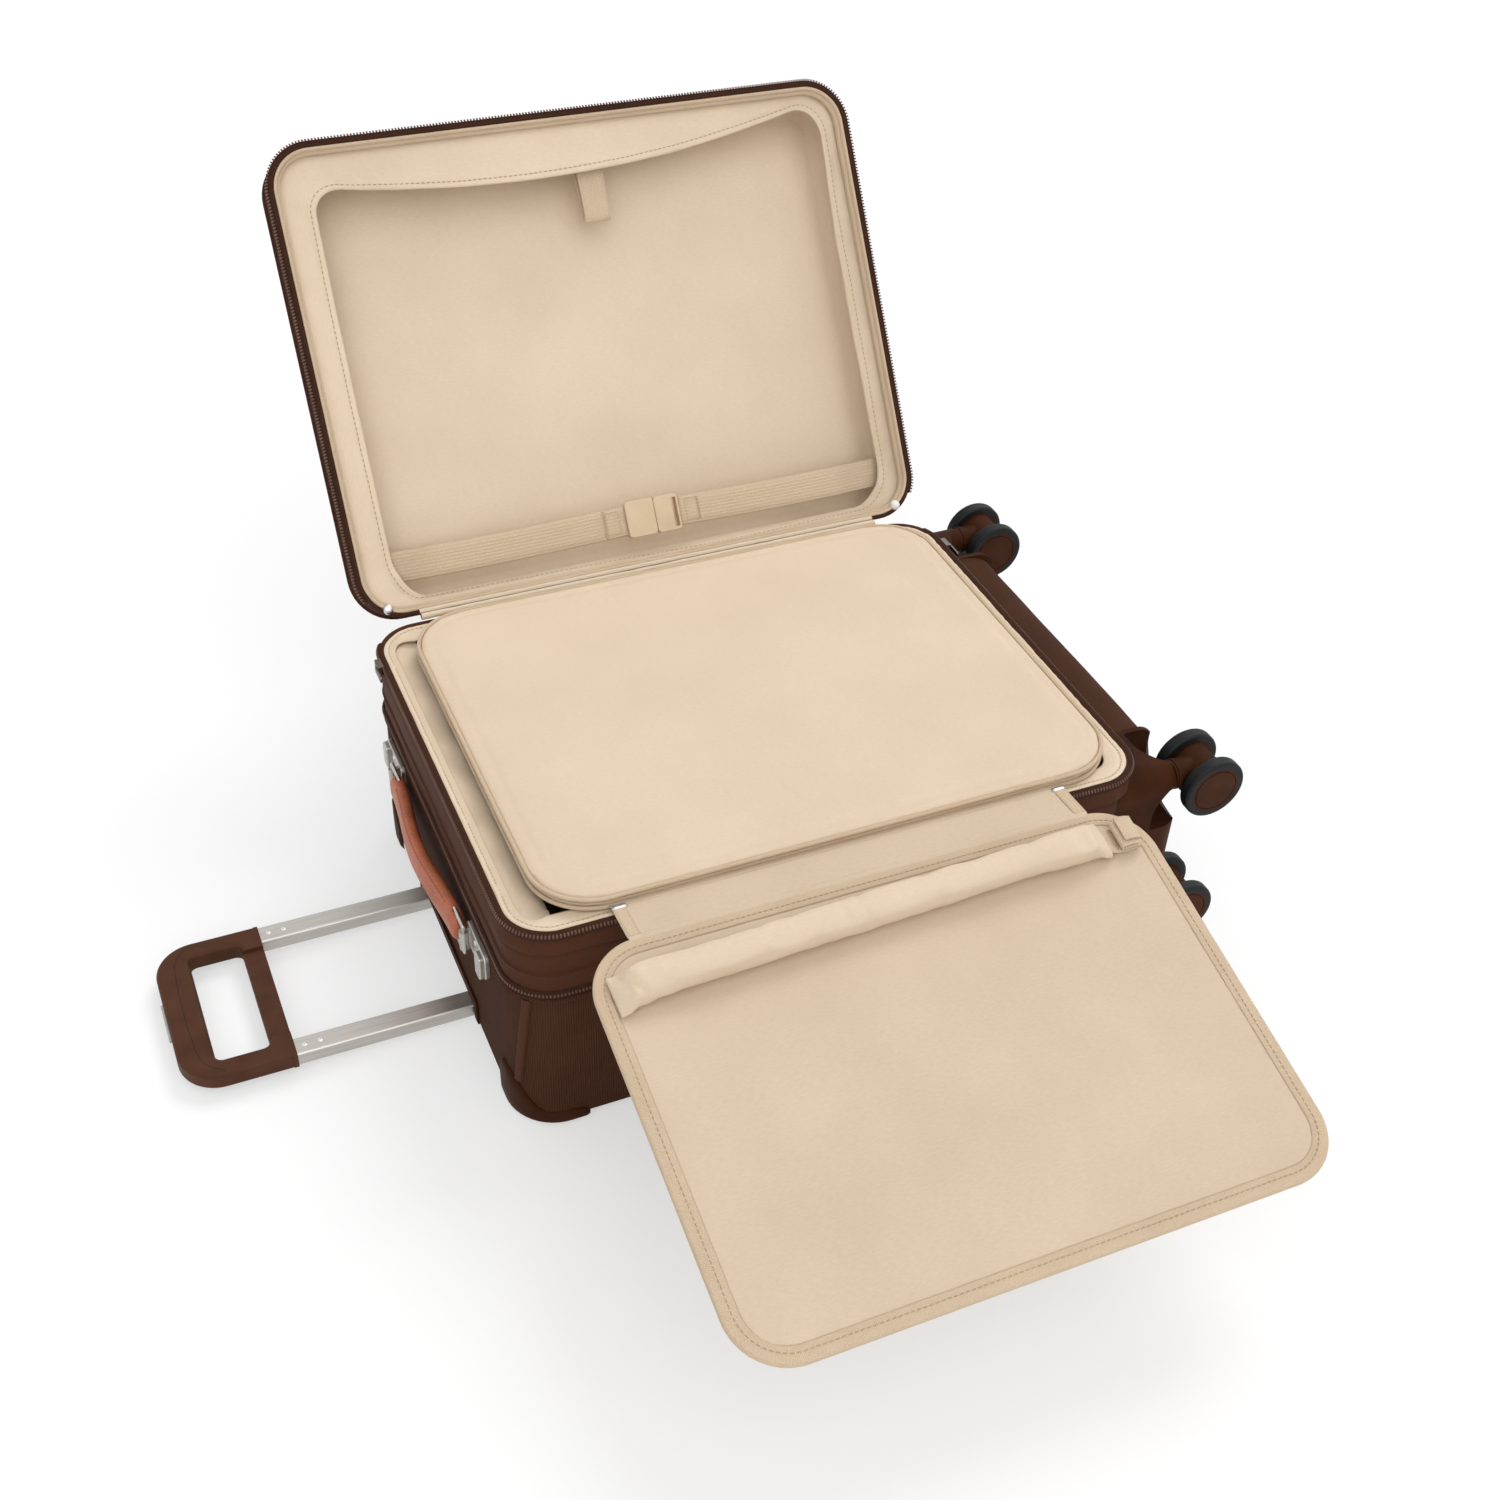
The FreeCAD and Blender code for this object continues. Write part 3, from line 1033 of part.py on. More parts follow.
def make_leather_grip():
    """Leather grip, taller in the middle and bowed away from the wall, with a tunnel at each end."""
    bar = HANDLE_HALF_SPAN - LINK_REACH
    tunnel_start = bar - GRIP_TUNNEL_BACK
    half_length = tunnel_start + GRIP_TUNNEL_LENGTH + GRIP_TUNNEL_WALL
    shoulder = bar - LINK_REACH
    steps = [shoulder * share / LEATHER_STEPS for share in range(-LEATHER_STEPS, LEATHER_STEPS + 1)]
    places = [-half_length] + steps + [half_length]
    grip = Part.makeLoft([leather_section(place, shoulder) for place in places], True, True)
    top = 2 * GRIP_LEATHER_MID_HALF
    for side in (-1, 1):
        first = side * (tunnel_start + GRIP_TUNNEL_HALF)
        last = side * (tunnel_start + GRIP_TUNNEL_LENGTH - GRIP_TUNNEL_HALF)
        tunnel = slab(-LINK_STAND_OFF - GRIP_TUNNEL_HALF, -LINK_STAND_OFF + GRIP_TUNNEL_HALF,
                      min(first, last) - GRIP_TUNNEL_HALF, max(first, last) + GRIP_TUNNEL_HALF,
                      -top, top, GRIP_TUNNEL_HALF - FIT)
        grip = grip.cut(tunnel)
    return grip


def make_handles():
    pieces = {
        "brackets": [make_bracket(-1), make_bracket(1)],
        "link_a": [make_link(-1)],
        "link_b": [make_link(1)],
        "grip": [make_leather_grip()],
    }
    for piece, shapes in pieces.items():
        top = []
        side = []
        for shape in shapes:
            top.append(moved(shape, V(-BODY_HALF_LENGTH, TOP_HANDLE_Y, TOP_HANDLE_Z)))
            side.append(moved(turned(shape, ORIGIN, Z_AXIS, 90), V(SIDE_HANDLE_X, -BODY_HALF_WIDTH, SIDE_HANDLE_Z)))
        save(f"top_handle_{piece}", *top)
        save(f"side_handle_{piece}", *side)


def main():
    os.makedirs("parts", exist_ok=True)
    make_tub_shell()
    make_tub_lining()
    make_zips()
    make_sliders()
    make_back_cover()
    make_corner_guards()
    make_wheel_end()
    make_caster_bushes()
    make_casters()
    make_lid_shell()
    make_lid_lining()
    make_lid_frame()
    make_hanger_loop()
    make_lid_belt()
    make_buckle()
    make_front_pockets()
    make_hinges()
    make_middle_panel()
    make_fold_strip()
    make_flap()
    make_roller_bar()
    make_trolley_tubes()
    make_grip()
    make_trolley_cup()
    make_handles()


main()
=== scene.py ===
import json
import math

import bmesh
import bpy
import numpy as np
from mathutils import Matrix, Vector, noise


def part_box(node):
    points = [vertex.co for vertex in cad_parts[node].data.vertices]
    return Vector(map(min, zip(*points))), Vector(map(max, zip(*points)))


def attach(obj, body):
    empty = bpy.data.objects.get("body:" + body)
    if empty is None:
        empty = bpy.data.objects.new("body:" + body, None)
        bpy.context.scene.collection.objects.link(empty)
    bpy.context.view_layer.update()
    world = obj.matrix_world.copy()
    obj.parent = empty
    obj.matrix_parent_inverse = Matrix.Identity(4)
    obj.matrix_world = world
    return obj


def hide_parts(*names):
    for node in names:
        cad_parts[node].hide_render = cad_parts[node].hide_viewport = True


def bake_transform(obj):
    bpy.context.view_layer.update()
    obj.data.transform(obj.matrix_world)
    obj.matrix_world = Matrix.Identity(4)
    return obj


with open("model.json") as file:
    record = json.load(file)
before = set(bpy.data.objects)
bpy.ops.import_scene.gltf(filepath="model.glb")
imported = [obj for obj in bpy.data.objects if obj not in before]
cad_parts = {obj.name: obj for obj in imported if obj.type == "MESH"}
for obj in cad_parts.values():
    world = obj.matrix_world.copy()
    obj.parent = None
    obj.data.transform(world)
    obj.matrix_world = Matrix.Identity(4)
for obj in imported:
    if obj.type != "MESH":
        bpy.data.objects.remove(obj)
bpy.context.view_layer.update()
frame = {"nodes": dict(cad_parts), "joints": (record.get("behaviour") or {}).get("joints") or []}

NODES = frame["nodes"]
JOINTS = {joint["name"]: joint for joint in frame["joints"]}

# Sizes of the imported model, in metres

WALL_INSET = 0.0051
CORNER = 0.042
FLOOR_UNDER = 0.031
SKIRT = 0.012
LINING_THICKNESS = 0.0016
ZIP_STOP = 0.020
EXPANSION_ZIP_STOP = 0.028
PIPING_PROUD = 0.002
PIPING_HEIGHT = 0.0044
LOWER_PIPING_Z = 0.152
UPPER_PIPING_Z = 0.206
BAND_FOLD_Z = 0.182
BODY_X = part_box("tub_lining")[1].x + WALL_INSET
BODY_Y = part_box("tub_lining")[1].y + WALL_INSET
TUB_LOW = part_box("tub_shell")[0].z
RIM_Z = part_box("tub_shell")[1].z
LIP_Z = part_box("tub_lining")[1].z
LINING_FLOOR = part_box("tub_lining")[0].z + LINING_THICKNESS

HINGE = Vector(JOINTS["lid_hinge"]["pos_m"])
LID_OPEN = math.radians(124)
LID_GAP = 0.006
LID_DEPTH = 0.065
LID_EDGE_ROUND = 0.020
LID_WALL = 0.004
LID_RIM = RIM_Z + LID_GAP
LID_TOP = LID_RIM + LID_DEPTH
FRAME_SET_BACK = 0.0125
FRAME_LEVEL = LID_RIM + FRAME_SET_BACK
FRAME_LEFT = 0.040
FRAME_RIGHT = 0.025
FRAME_NEAR = 0.030
FRAME_FAR = 0.028
FRAME_CORNER = 0.030
BELT_SET_BACK = 0.020
BELT_INSET = 0.048
BELT_LEVEL = LID_RIM + BELT_SET_BACK
BELT_Y = BODY_Y - BELT_INSET
BELT_WIDTH = 0.029
WEBBING = 0.0017
POCKET_RISE = 0.010
POCKET_CORNER = 0.026
POCKET_SIDE_GAP = 0.028
POCKET_END_GAP = 0.026
POCKET_ZIP_STRIP = 0.018
POCKET_ZIP_X = -0.074

PANEL_LOW, PANEL_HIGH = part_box("middle_panel")
PANEL_CORNER = 0.052
PANEL_CROWN = 0.003

STRIP_HINGE = Vector(JOINTS["strip_fold"]["pos_m"])
STRIP_RISE = math.radians(3.2)
STRIP_LENGTH = 0.040
FLAP_HINGE = Vector(JOINTS["flap_fold"]["pos_m"])
FLAP_SLOPE = math.radians(14.2)
FLAP_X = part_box("flap_binding")[1].x
FLAP_REACH = 0.351
FLAP_CORNER = 0.048
FLAP_THICKNESS = 0.005
BINDING = 0.014
ROLLER_HEIGHT = 0.028
ROLLER_WIDTH = 0.038
ROLLER_LEFT_GAP = 0.013
ROLLER_RIGHT_GAP = 0.046
ROLLER_LEFT = -FLAP_X + ROLLER_LEFT_GAP
ROLLER_RIGHT = FLAP_X - ROLLER_RIGHT_GAP
ROLLER_SKEW = math.radians(1.9)
ROLLER_EDGE_GAP = 0.042
ROLLER_V = ROLLER_EDGE_GAP - ROLLER_HEIGHT / 3
STRAP_OFFSET = 0.018
STRAP_X = ROLLER_RIGHT + STRAP_OFFSET

TUBE_Y = 0.073
TUBE_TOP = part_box("trolley_inner_tubes")[1].z
GRIP_LOW, GRIP_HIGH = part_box("trolley_grip")
GRIP_SIDE = 0.084

CASTERS = ("near_upper", "far_upper", "near_lower", "far_lower")
LONG_SIDES = (("near", -1), ("far", 1))
ENDS = (("left", -1), ("right", 1))

# Stitches and zip teeth, each with its pitch, length, width and height

LIP_STITCH = (0.0042, 0.003, 0.0007, 0.0006)
FRAME_STITCH = (0.005, 0.0034, 0.0009, 0.0007)
BOX_STITCH = (0.0026, 0.002, 0.0006, 0.0006)
TAB_STITCH = (0.003, 0.002, 0.0006, 0.0003)
FLAP_STITCH = (0.0048, 0.0034, 0.0009, 0.0008)
LEATHER_STITCH = (0.0042, 0.003, 0.0008, 0.0008)
ZIP_TOOTH = (0.003, 0.0017, 0.0042, 0.0018)
POCKET_TOOTH = (0.0026, 0.0017, 0.0044, 0.0014)

# Round heads, each with its radius and rise

ZIP_END = (0.0052, 0.0042)
SCREW_HEAD = (0.0026, 0.0011)
RIVET_HEAD = (0.0023, 0.0002)


# Placing points

def tilted(points, hinge, slope):
    """Points drawn flat beside a hinge, turned to a slope round it."""
    points = np.asarray(points, float)
    turned = points.copy()
    turned[..., 1] = hinge.y + points[..., 1] * math.cos(slope) - points[..., 2] * math.sin(slope)
    turned[..., 2] = hinge.z + points[..., 1] * math.sin(slope) + points[..., 2] * math.cos(slope)
    return turned


def opened(points):
    """Points drawn on the closed lid, turned to where the open lid is."""
    return tilted(np.asarray(points, float) - np.array([0, HINGE.y, HINGE.z]), HINGE, -LID_OPEN)


def sloped(points):
    """Points drawn flat beside the flap's hinge, turned down to its slope."""
    return tilted(points, FLAP_HINGE, FLAP_SLOPE)


def on_strip(points):
    """Points drawn flat beside the fold strip's hinge, turned up to its rise."""
    return tilted(points, STRIP_HINGE, -STRIP_RISE)


def as_drawn(points):
    """Points that are drawn where they belong."""
    return np.asarray(points, float)


def facing(place, direction):
    """A direction drawn on a part, as it points once the part is placed."""
    return place(np.asarray(direction, float)) - place(np.zeros(3))


def points_at(x, y, z):
    """Points from three lists of coordinates, any of which may be one number for all."""
    return np.stack(np.broadcast_arrays(x, y, z), -1)


# Shares and curves

def ramp(values, start, span):
    """Share of the way from a start over a span, held between 0 and 1."""
    return np.clip((values - start) / span, 0, 1)


def eased(share):
    """A share from 0 to 1 that starts and ends gently."""
    return share * share * (3 - 2 * share)


def turns(sides):
    """Even angles round a circle."""
    return np.arange(sides) * 2 * math.pi / sides


def arc(first, last, count):
    """Points on a circle of radius 1 from one angle to another."""
    angles = np.linspace(first, last, count)
    return np.stack([np.cos(angles), np.sin(angles)], -1)


def squarish(angles, power):
    """Cosines and sines of a circle that is pushed towards a square."""
    cosine, sine = np.cos(angles), np.sin(angles)
    return np.sign(cosine) * np.abs(cosine) ** power, np.sign(sine) * np.abs(sine) ** power


# Meshes

def quads(rows, columns, wrap=False):
    """Faces of a grid of points, joined round its columns when it wraps."""
    index = np.arange(rows * columns).reshape(rows, columns)
    if wrap:
        index = np.concatenate([index, index[:, :1]], axis=1)
    corners = [index[:-1, :-1], index[1:, :-1], index[1:, 1:], index[:-1, 1:]]
    return np.stack(corners, -1).reshape(-1, 4).tolist()


def surface(points, wrap=False):
    """A grid of points as a mesh part: points, faces and flat sizes along its rows and columns."""
    points = np.asarray(points, float)
    rows, columns = points.shape[:2]
    steps_u = np.linalg.norm(np.diff(points, axis=0), axis=-1).mean(axis=1)
    steps_v = np.linalg.norm(np.diff(points, axis=1), axis=-1).mean(axis=0)
    u = np.concatenate([[0], np.cumsum(steps_u)])
    v = np.concatenate([[0], np.cumsum(steps_v)])
    uv = np.stack(np.meshgrid(u, v, indexing="ij"), -1)
    return points.reshape(-1, 3), quads(rows, columns, wrap), uv.reshape(-1, 2)


def capped(grid):
    """Rings of points as a tube that is closed at both ends."""
    points, faces, uvs = surface(grid, wrap=True)
    sides = grid.shape[1]
    faces.append(list(range(sides)))
    faces.append(list(range(len(points) - sides, len(points))))
    return points, faces, uvs


def extruded(x, section):
    """Grid of a section of places across and heights, carried along the X axis."""
    section = np.asarray(section, float)
    grid = np.empty((len(x), len(section), 3))
    grid[..., 0] = x[:, None]
    grid[..., 1:] = section[None]
    return grid


def doubled(upper, lower):
    """Two faces of a thin cloth as one grid that wraps round its edges."""
    return np.concatenate([upper, lower[:, ::-1]], axis=1)


def merged(*parts):
    """Several mesh parts as one."""
    points, faces, uvs = [], [], []
    start = 0
    for part_points, part_faces, part_uvs in parts:
        points.append(part_points)
        uvs.append(part_uvs)
        faces.extend([[index + start for index in face] for face in part_faces])
        start += len(part_points)
    return np.concatenate(points), faces, np.concatenate(uvs)


WELD_DISTANCE = 1e-6


def make_piece(name, body, material, part, stands_for=(), slot=None, ride=True):
    """A mesh part as an object with its material, settled on its body."""
    points, faces, uvs = part
    mesh = bpy.data.meshes.new(name)
    mesh.from_pydata(np.asarray(points).tolist(), [], faces)
    layer = mesh.uv_layers.new(name="UVMap")
    corners = np.empty(len(mesh.loops), np.int32)
    mesh.loops.foreach_get("vertex_index", corners)
    layer.data.foreach_set("uv", np.asarray(uvs, np.float32)[corners].ravel())
    build = bmesh.new()
    build.from_mesh(mesh)
    bmesh.ops.remove_doubles(build, verts=build.verts, dist=WELD_DISTANCE)
    bmesh.ops.recalc_face_normals(build, faces=build.faces)
    build.to_mesh(mesh)
    build.free()
    mesh.shade_smooth()
    mesh.materials.append(material)
    piece = bpy.data.objects.new(name, mesh)
    bpy.context.scene.collection.objects.link(piece)
    if ride:
        settle(piece, body, stands_for, slot)
    return piece


def settle(piece, body, stands_for=(), slot=None):
    """The piece rides on its body and stands for its CAD nodes."""
    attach(piece, body)
    if stands_for:
        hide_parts(*stands_for)


def rumple(points, size, depth, seed):
    """Smooth unevenness at each point, for folds of about a given size."""
    flat = np.asarray(points, float).reshape(-1, 3)
    values = [noise.noise(Vector(point) / size + Vector((seed, seed * 2, -seed))) for point in flat]
    return depth * np.array(values).reshape(np.asarray(points).shape[:-1])


def rounded_loop(x0, x1, y0, y1, radius, step, corner_steps=12, sizes=None):
    """Closed line round a rectangle with round corners, with its outward directions.

    It starts in the middle of the far side. The sizes, where given, set how many points each straight has, so
    that two loops match point by point.
    """
    places, outward = [], []
    across, along = sizes or (x1 - x0 - 2 * radius, y1 - y0 - 2 * radius)

    def straight(start, end, direction):
        length = along if direction[0] else across
        if direction == (0, 1):
            length = across / 2
        count = max(1, round(length / step))
        for index in range(count):
            share = index / count
            places.append((start[0] + (end[0] - start[0]) * share, start[1] + (end[1] - start[1]) * share))
            outward.append(direction)

    def corner(centre_x, centre_y, start):
        for index in range(corner_steps):
            angle = math.radians(start + 90 * index / corner_steps)
            direction = (math.cos(angle), math.sin(angle))
            places.append((centre_x + radius * direction[0], centre_y + radius * direction[1]))
            outward.append(direction)

    middle = (x0 + x1) / 2
    straight((middle, y1), (x0 + radius, y1), (0, 1))
    corner(x0 + radius, y1 - radius, 90)
    straight((x0, y1 - radius), (x0, y0 + radius), (-1, 0))
    corner(x0 + radius, y0 + radius, 180)
    straight((x0 + radius, y0), (x1 - radius, y0), (0, -1))
    corner(x1 - radius, y0 + radius, 270)
    straight((x1, y0 + radius), (x1, y1 - radius), (1, 0))
    corner(x1 - radius, y1 - radius, 0)
    straight((x1 - radius, y1), (middle, y1), (0, 1))
    places.append((middle, y1))
    outward.append((0, 1))
    return np.array(places), np.array(outward, float)


def ring(loop, profile):
    """Points of a profile of outward offsets and heights carried round a loop."""
    places, outward = loop
    profile = np.asarray(profile, float)
    grid = np.empty((len(places), len(profile), 3))
    grid[..., :2] = places[:, None, :] + outward[:, None, :] * profile[None, :, :1]
    grid[..., 2] = profile[None, :, 1]
    return grid


def part_of(loop, keep):
    """The stretch of a loop whose points pass a test."""
    places, outward = loop
    chosen = np.array([keep(x, y) for x, y in places])
    return places[chosen], outward[chosen]


def push_out(grid, loop, amount):
    """Moves the points of a ring outward from its loop."""
    grid[..., :2] += loop[1][:, None, :] * amount[..., None]


def body_box(inset=0.0):
    """Sides of the body in plan, set in from its edge."""
    return -BODY_X + inset, BODY_X - inset, -BODY_Y + inset, BODY_Y - inset


def body_loop(step=0.006):
    """Closed line round the body in plan."""
    return rounded_loop(*body_box(), CORNER, step)


def round_profile(radius, sides, offset, height):
    """Closed circle of offsets and heights, for a piping cord carried round a loop."""
    return np.array([offset, height]) + radius * arc(0, 2 * math.pi, sides + 1)


def grid_lines(start, end, step, near):
    """Places from start to end, close together at both ends."""
    inner = near[-1]
    count = max(2, round((end - start - 2 * inner) / step))
    middle = np.linspace(start + inner, end - inner, count + 1)
    first = [start + place for place in near[:-1]]
    last = [end - place for place in reversed(near[:-1])]
    return np.concatenate([first, middle, last])


def rounded_grid(x0, x1, y0, y1, radius, step, near):
    """Grid of places that fills a rectangle with round corners."""
    across, along = np.meshgrid(grid_lines(x0, x1, step, near), grid_lines(y0, y1, step, near), indexing="ij")
    middle_x, middle_y = (x0 + x1) / 2, (y0 + y1) / 2
    core_x, core_y = (x1 - x0) / 2 - radius, (y1 - y0) / 2 - radius
    over_x = ramp(np.abs(across - middle_x), core_x, radius)
    over_y = ramp(np.abs(along - middle_y), core_y, radius)
    in_corner = (over_x > 0) & (over_y > 0)
    new_x = middle_x + np.sign(across - middle_x) * (core_x + radius * over_x * np.sqrt(1 - over_y ** 2 / 2))
    new_y = middle_y + np.sign(along - middle_y) * (core_y + radius * over_y * np.sqrt(1 - over_x ** 2 / 2))
    return np.where(in_corner, new_x, across), np.where(in_corner, new_y, along)


def body_grid(inset, step, near):
    """Grid of places that fills the body's outline, set in from its edge."""
    return rounded_grid(*body_box(inset), CORNER - inset, step, near)


def edge_distance(x, y, box, radius):
    """How far each place lies inside the edge of a rectangle with round corners."""
    x0, x1, y0, y1 = box
    beyond_x = np.maximum(np.maximum(x0 + radius - x, x - x1 + radius), 0)
    beyond_y = np.maximum(np.maximum(y0 + radius - y, y - y1 + radius), 0)
    outside = np.hypot(beyond_x, beyond_y)
    inside = np.minimum(np.minimum(x - x0, x1 - x), np.minimum(y - y0, y1 - y))
    return np.where(outside > 0, radius - outside, inside)


def rounded_off(distance, radius):
    """Drop of a surface towards its edge, as a quarter circle."""
    near = np.clip(radius - distance, 0, radius)
    return radius - np.sqrt(radius ** 2 - near ** 2)


def groove(distance, place, width, depth):
    """Drop of a surface along a soft line at a distance from its edge."""
    return -depth * np.exp(-((distance - place) / width) ** 2)


def border(rows, columns):
    """Indices round the edge of a grid, in order."""
    index = np.arange(rows * columns).reshape(rows, columns)
    return np.concatenate([index[:-1, 0], index[-1, :-1], index[:0:-1, -1], index[0, :0:-1]])


def pad(x, y, top, bottom):
    """Closed pad between two grids of heights over the same places."""
    rows, columns = x.shape
    upper = np.stack([x, y, top], -1).reshape(-1, 3)
    lower = np.stack([x, y, bottom], -1).reshape(-1, 3)
    faces = quads(rows, columns)
    count = rows * columns
    faces += [[index + count for index in face[::-1]] for face in quads(rows, columns)]
    edge = border(rows, columns)
    following = np.roll(edge, -1)
    for first, second in zip(edge.tolist(), following.tolist()):
        faces.append([first, second, second + count, first + count])
    flat = np.stack([x, y], -1).reshape(-1, 2)
    return np.concatenate([upper, lower]), faces, np.concatenate([flat, flat])


def spaced(path, normals, pitch):
    """Even places along a path, with the direction along it and the direction out of the surface."""
    path = np.asarray(path, float)
    normals = np.broadcast_to(np.asarray(normals, float), path.shape)
    length = np.concatenate([[0], np.cumsum(np.linalg.norm(np.diff(path, axis=0), axis=1))])
    count = max(2, int(length[-1] / pitch))
    marks = (np.arange(count) + 0.5) * length[-1] / count

    def read(values, at):
        return np.stack([np.interp(at, length, values[:, k]) for k in range(3)], -1)

    ahead = read(path, np.minimum(marks + pitch / 4, length[-1]))
    behind = read(path, np.maximum(marks - pitch / 4, 0))
    tangents = ahead - behind
    tangents /= np.linalg.norm(tangents, axis=1, keepdims=True)
    ups = read(normals, marks)
    ups -= tangents * np.sum(ups * tangents, axis=1, keepdims=True)
    ups /= np.linalg.norm(ups, axis=1, keepdims=True)
    return read(path, marks), tangents, ups


BEAD_SIDES = 6
BEAD_ENDS = ((-0.5, 0.3), (-0.36, 0.85), (0.0, 1.0), (0.36, 0.85), (0.5, 0.3))


def beads(path, normals, pitch, length, width, height):
    """Row of small rounded beads along a path: stitches, or the teeth of a zip."""
    spots, tangents, ups = spaced(path, normals, pitch)
    sideways = np.cross(ups, tangents)
    shape = []
    for place, scale in BEAD_ENDS:
        for angle in turns(BEAD_SIDES):
            across = scale * math.cos(angle) * width / 2
            up = scale * math.sin(angle) * height / 2
            shape.append((place * length, across, up))
    shape = np.array(shape)
    points = (spots[:, None, :] + tangents[:, None, :] * shape[None, :, :1]
              + sideways[:, None, :] * shape[None, :, 1:2] + ups[:, None, :] * shape[None, :, 2:])
    one = quads(len(BEAD_ENDS), BEAD_SIDES, wrap=True)
    one.append(list(range(BEAD_SIDES)))
    one.append(list(range(len(shape) - BEAD_SIDES, len(shape))))
    faces = []
    for number in range(len(spots)):
        start = number * len(shape)
        faces.extend([[index + start for index in face] for face in one])
    uvs = np.tile(shape[:, :2], (len(spots), 1))
    return points.reshape(-1, 3), faces, uvs


def ribbon(path, across, width, thickness):
    """Flat strap with rounded edges along a path, its width in one direction."""
    path = np.asarray(path, float)
    across = np.asarray(across, float)
    tangents = np.gradient(path, axis=0)
    normals = np.cross(tangents, across)
    normals /= np.linalg.norm(normals, axis=1, keepdims=True)
    half, thin = width / 2, thickness / 2
    section = [(-half, 0), (-half + thin, thin)]
    section += [(place * half, thin) for place in (-0.5, 0.0, 0.5)]
    section += [(half - thin, thin), (half, 0), (half - thin, -thin)]
    section += [(place * half, -thin) for place in (0.5, 0.0, -0.5)]
    section += [(-half + thin, -thin)]
    section = np.array(section)
    grid = (path[:, None, :] + across[None, None, :] * section[None, :, :1]
            + normals[:, None, :] * section[None, :, 1:])
    points, faces, uvs = capped(grid)
    return points, faces, np.stack([uvs[:, 0], np.tile(section[:, 0], len(path))], -1)


def curve_points(controls, count):
    """Smooth line through a few points."""
    controls = np.asarray(controls, float)
    ends = np.concatenate([[2 * controls[0] - controls[1]], controls, [2 * controls[-1] - controls[-2]]])
    spans = len(controls) - 1
    line = []
    for mark in np.linspace(0, spans, count):
        span = min(int(mark), spans - 1)
        t = mark - span
        before, first, second, after = ends[span:span + 4]
        square = 2 * before - 5 * first + 4 * second - after
        cube = 3 * first - before - 3 * second + after
        line.append(0.5 * (2 * first + (second - before) * t + square * t ** 2 + cube * t ** 3))
    return np.array(line)


# Directions that no cord and no round head here points in, to start their circles from
CORD_SIDE = (0.3, 0.5, 0.8)
HEAD_SIDE = (0.2, 0.9, 0.4)


def tube(path, radius, sides):
    """Round cord along a path, closed at its ends."""
    path = np.asarray(path, float)
    tangents = np.gradient(path, axis=0)
    tangents /= np.linalg.norm(tangents, axis=1, keepdims=True)
    side = np.cross(tangents[0], CORD_SIDE)
    frames = []
    for tangent in tangents:
        side = side - tangent * np.dot(side, tangent)
        side /= np.linalg.norm(side)
        frames.append((side, np.cross(tangent, side)))
    rings = [[place + radius * (first * math.cos(a) + second * math.sin(a)) for a in turns(sides)]
             for place, (first, second) in zip(path, frames)]
    return capped(np.array(rings))


def dome(centre, out, radius, rise, rings=5, sides=16):
    """Low round head, such as a rivet's, on a surface."""
    out = np.asarray(out, float)
    first = np.cross(out, HEAD_SIDE)
    first /= np.linalg.norm(first)
    second = np.cross(out, first)
    rows = []
    for step in range(rings):
        share = step / (rings - 1)
        reach = radius * math.cos(share * math.pi / 2 * 0.94)
        lift = rise * math.sin(share * math.pi / 2)
        rows.append([np.asarray(centre) + reach * (first * math.cos(a) + second * math.sin(a)) + out * lift
                     for a in turns(sides)])
    points, faces, uvs = surface(np.array(rows), wrap=True)
    faces.append(list(range(len(points) - sides, len(points))))
    return points, faces, uvs


# Padding

# How far below its final form a pad starts before it is blown up
SWELL = 0.002
SWELL_FRAMES = 20
SWELL_PRESSURE = 4.0


def mesh_arrays(mesh):
    """Points and faces of a mesh."""
    points = np.empty(len(mesh.vertices) * 3)
    mesh.vertices.foreach_get("co", points)
    return points.reshape(-1, 3), [list(face.vertices) for face in mesh.polygons]


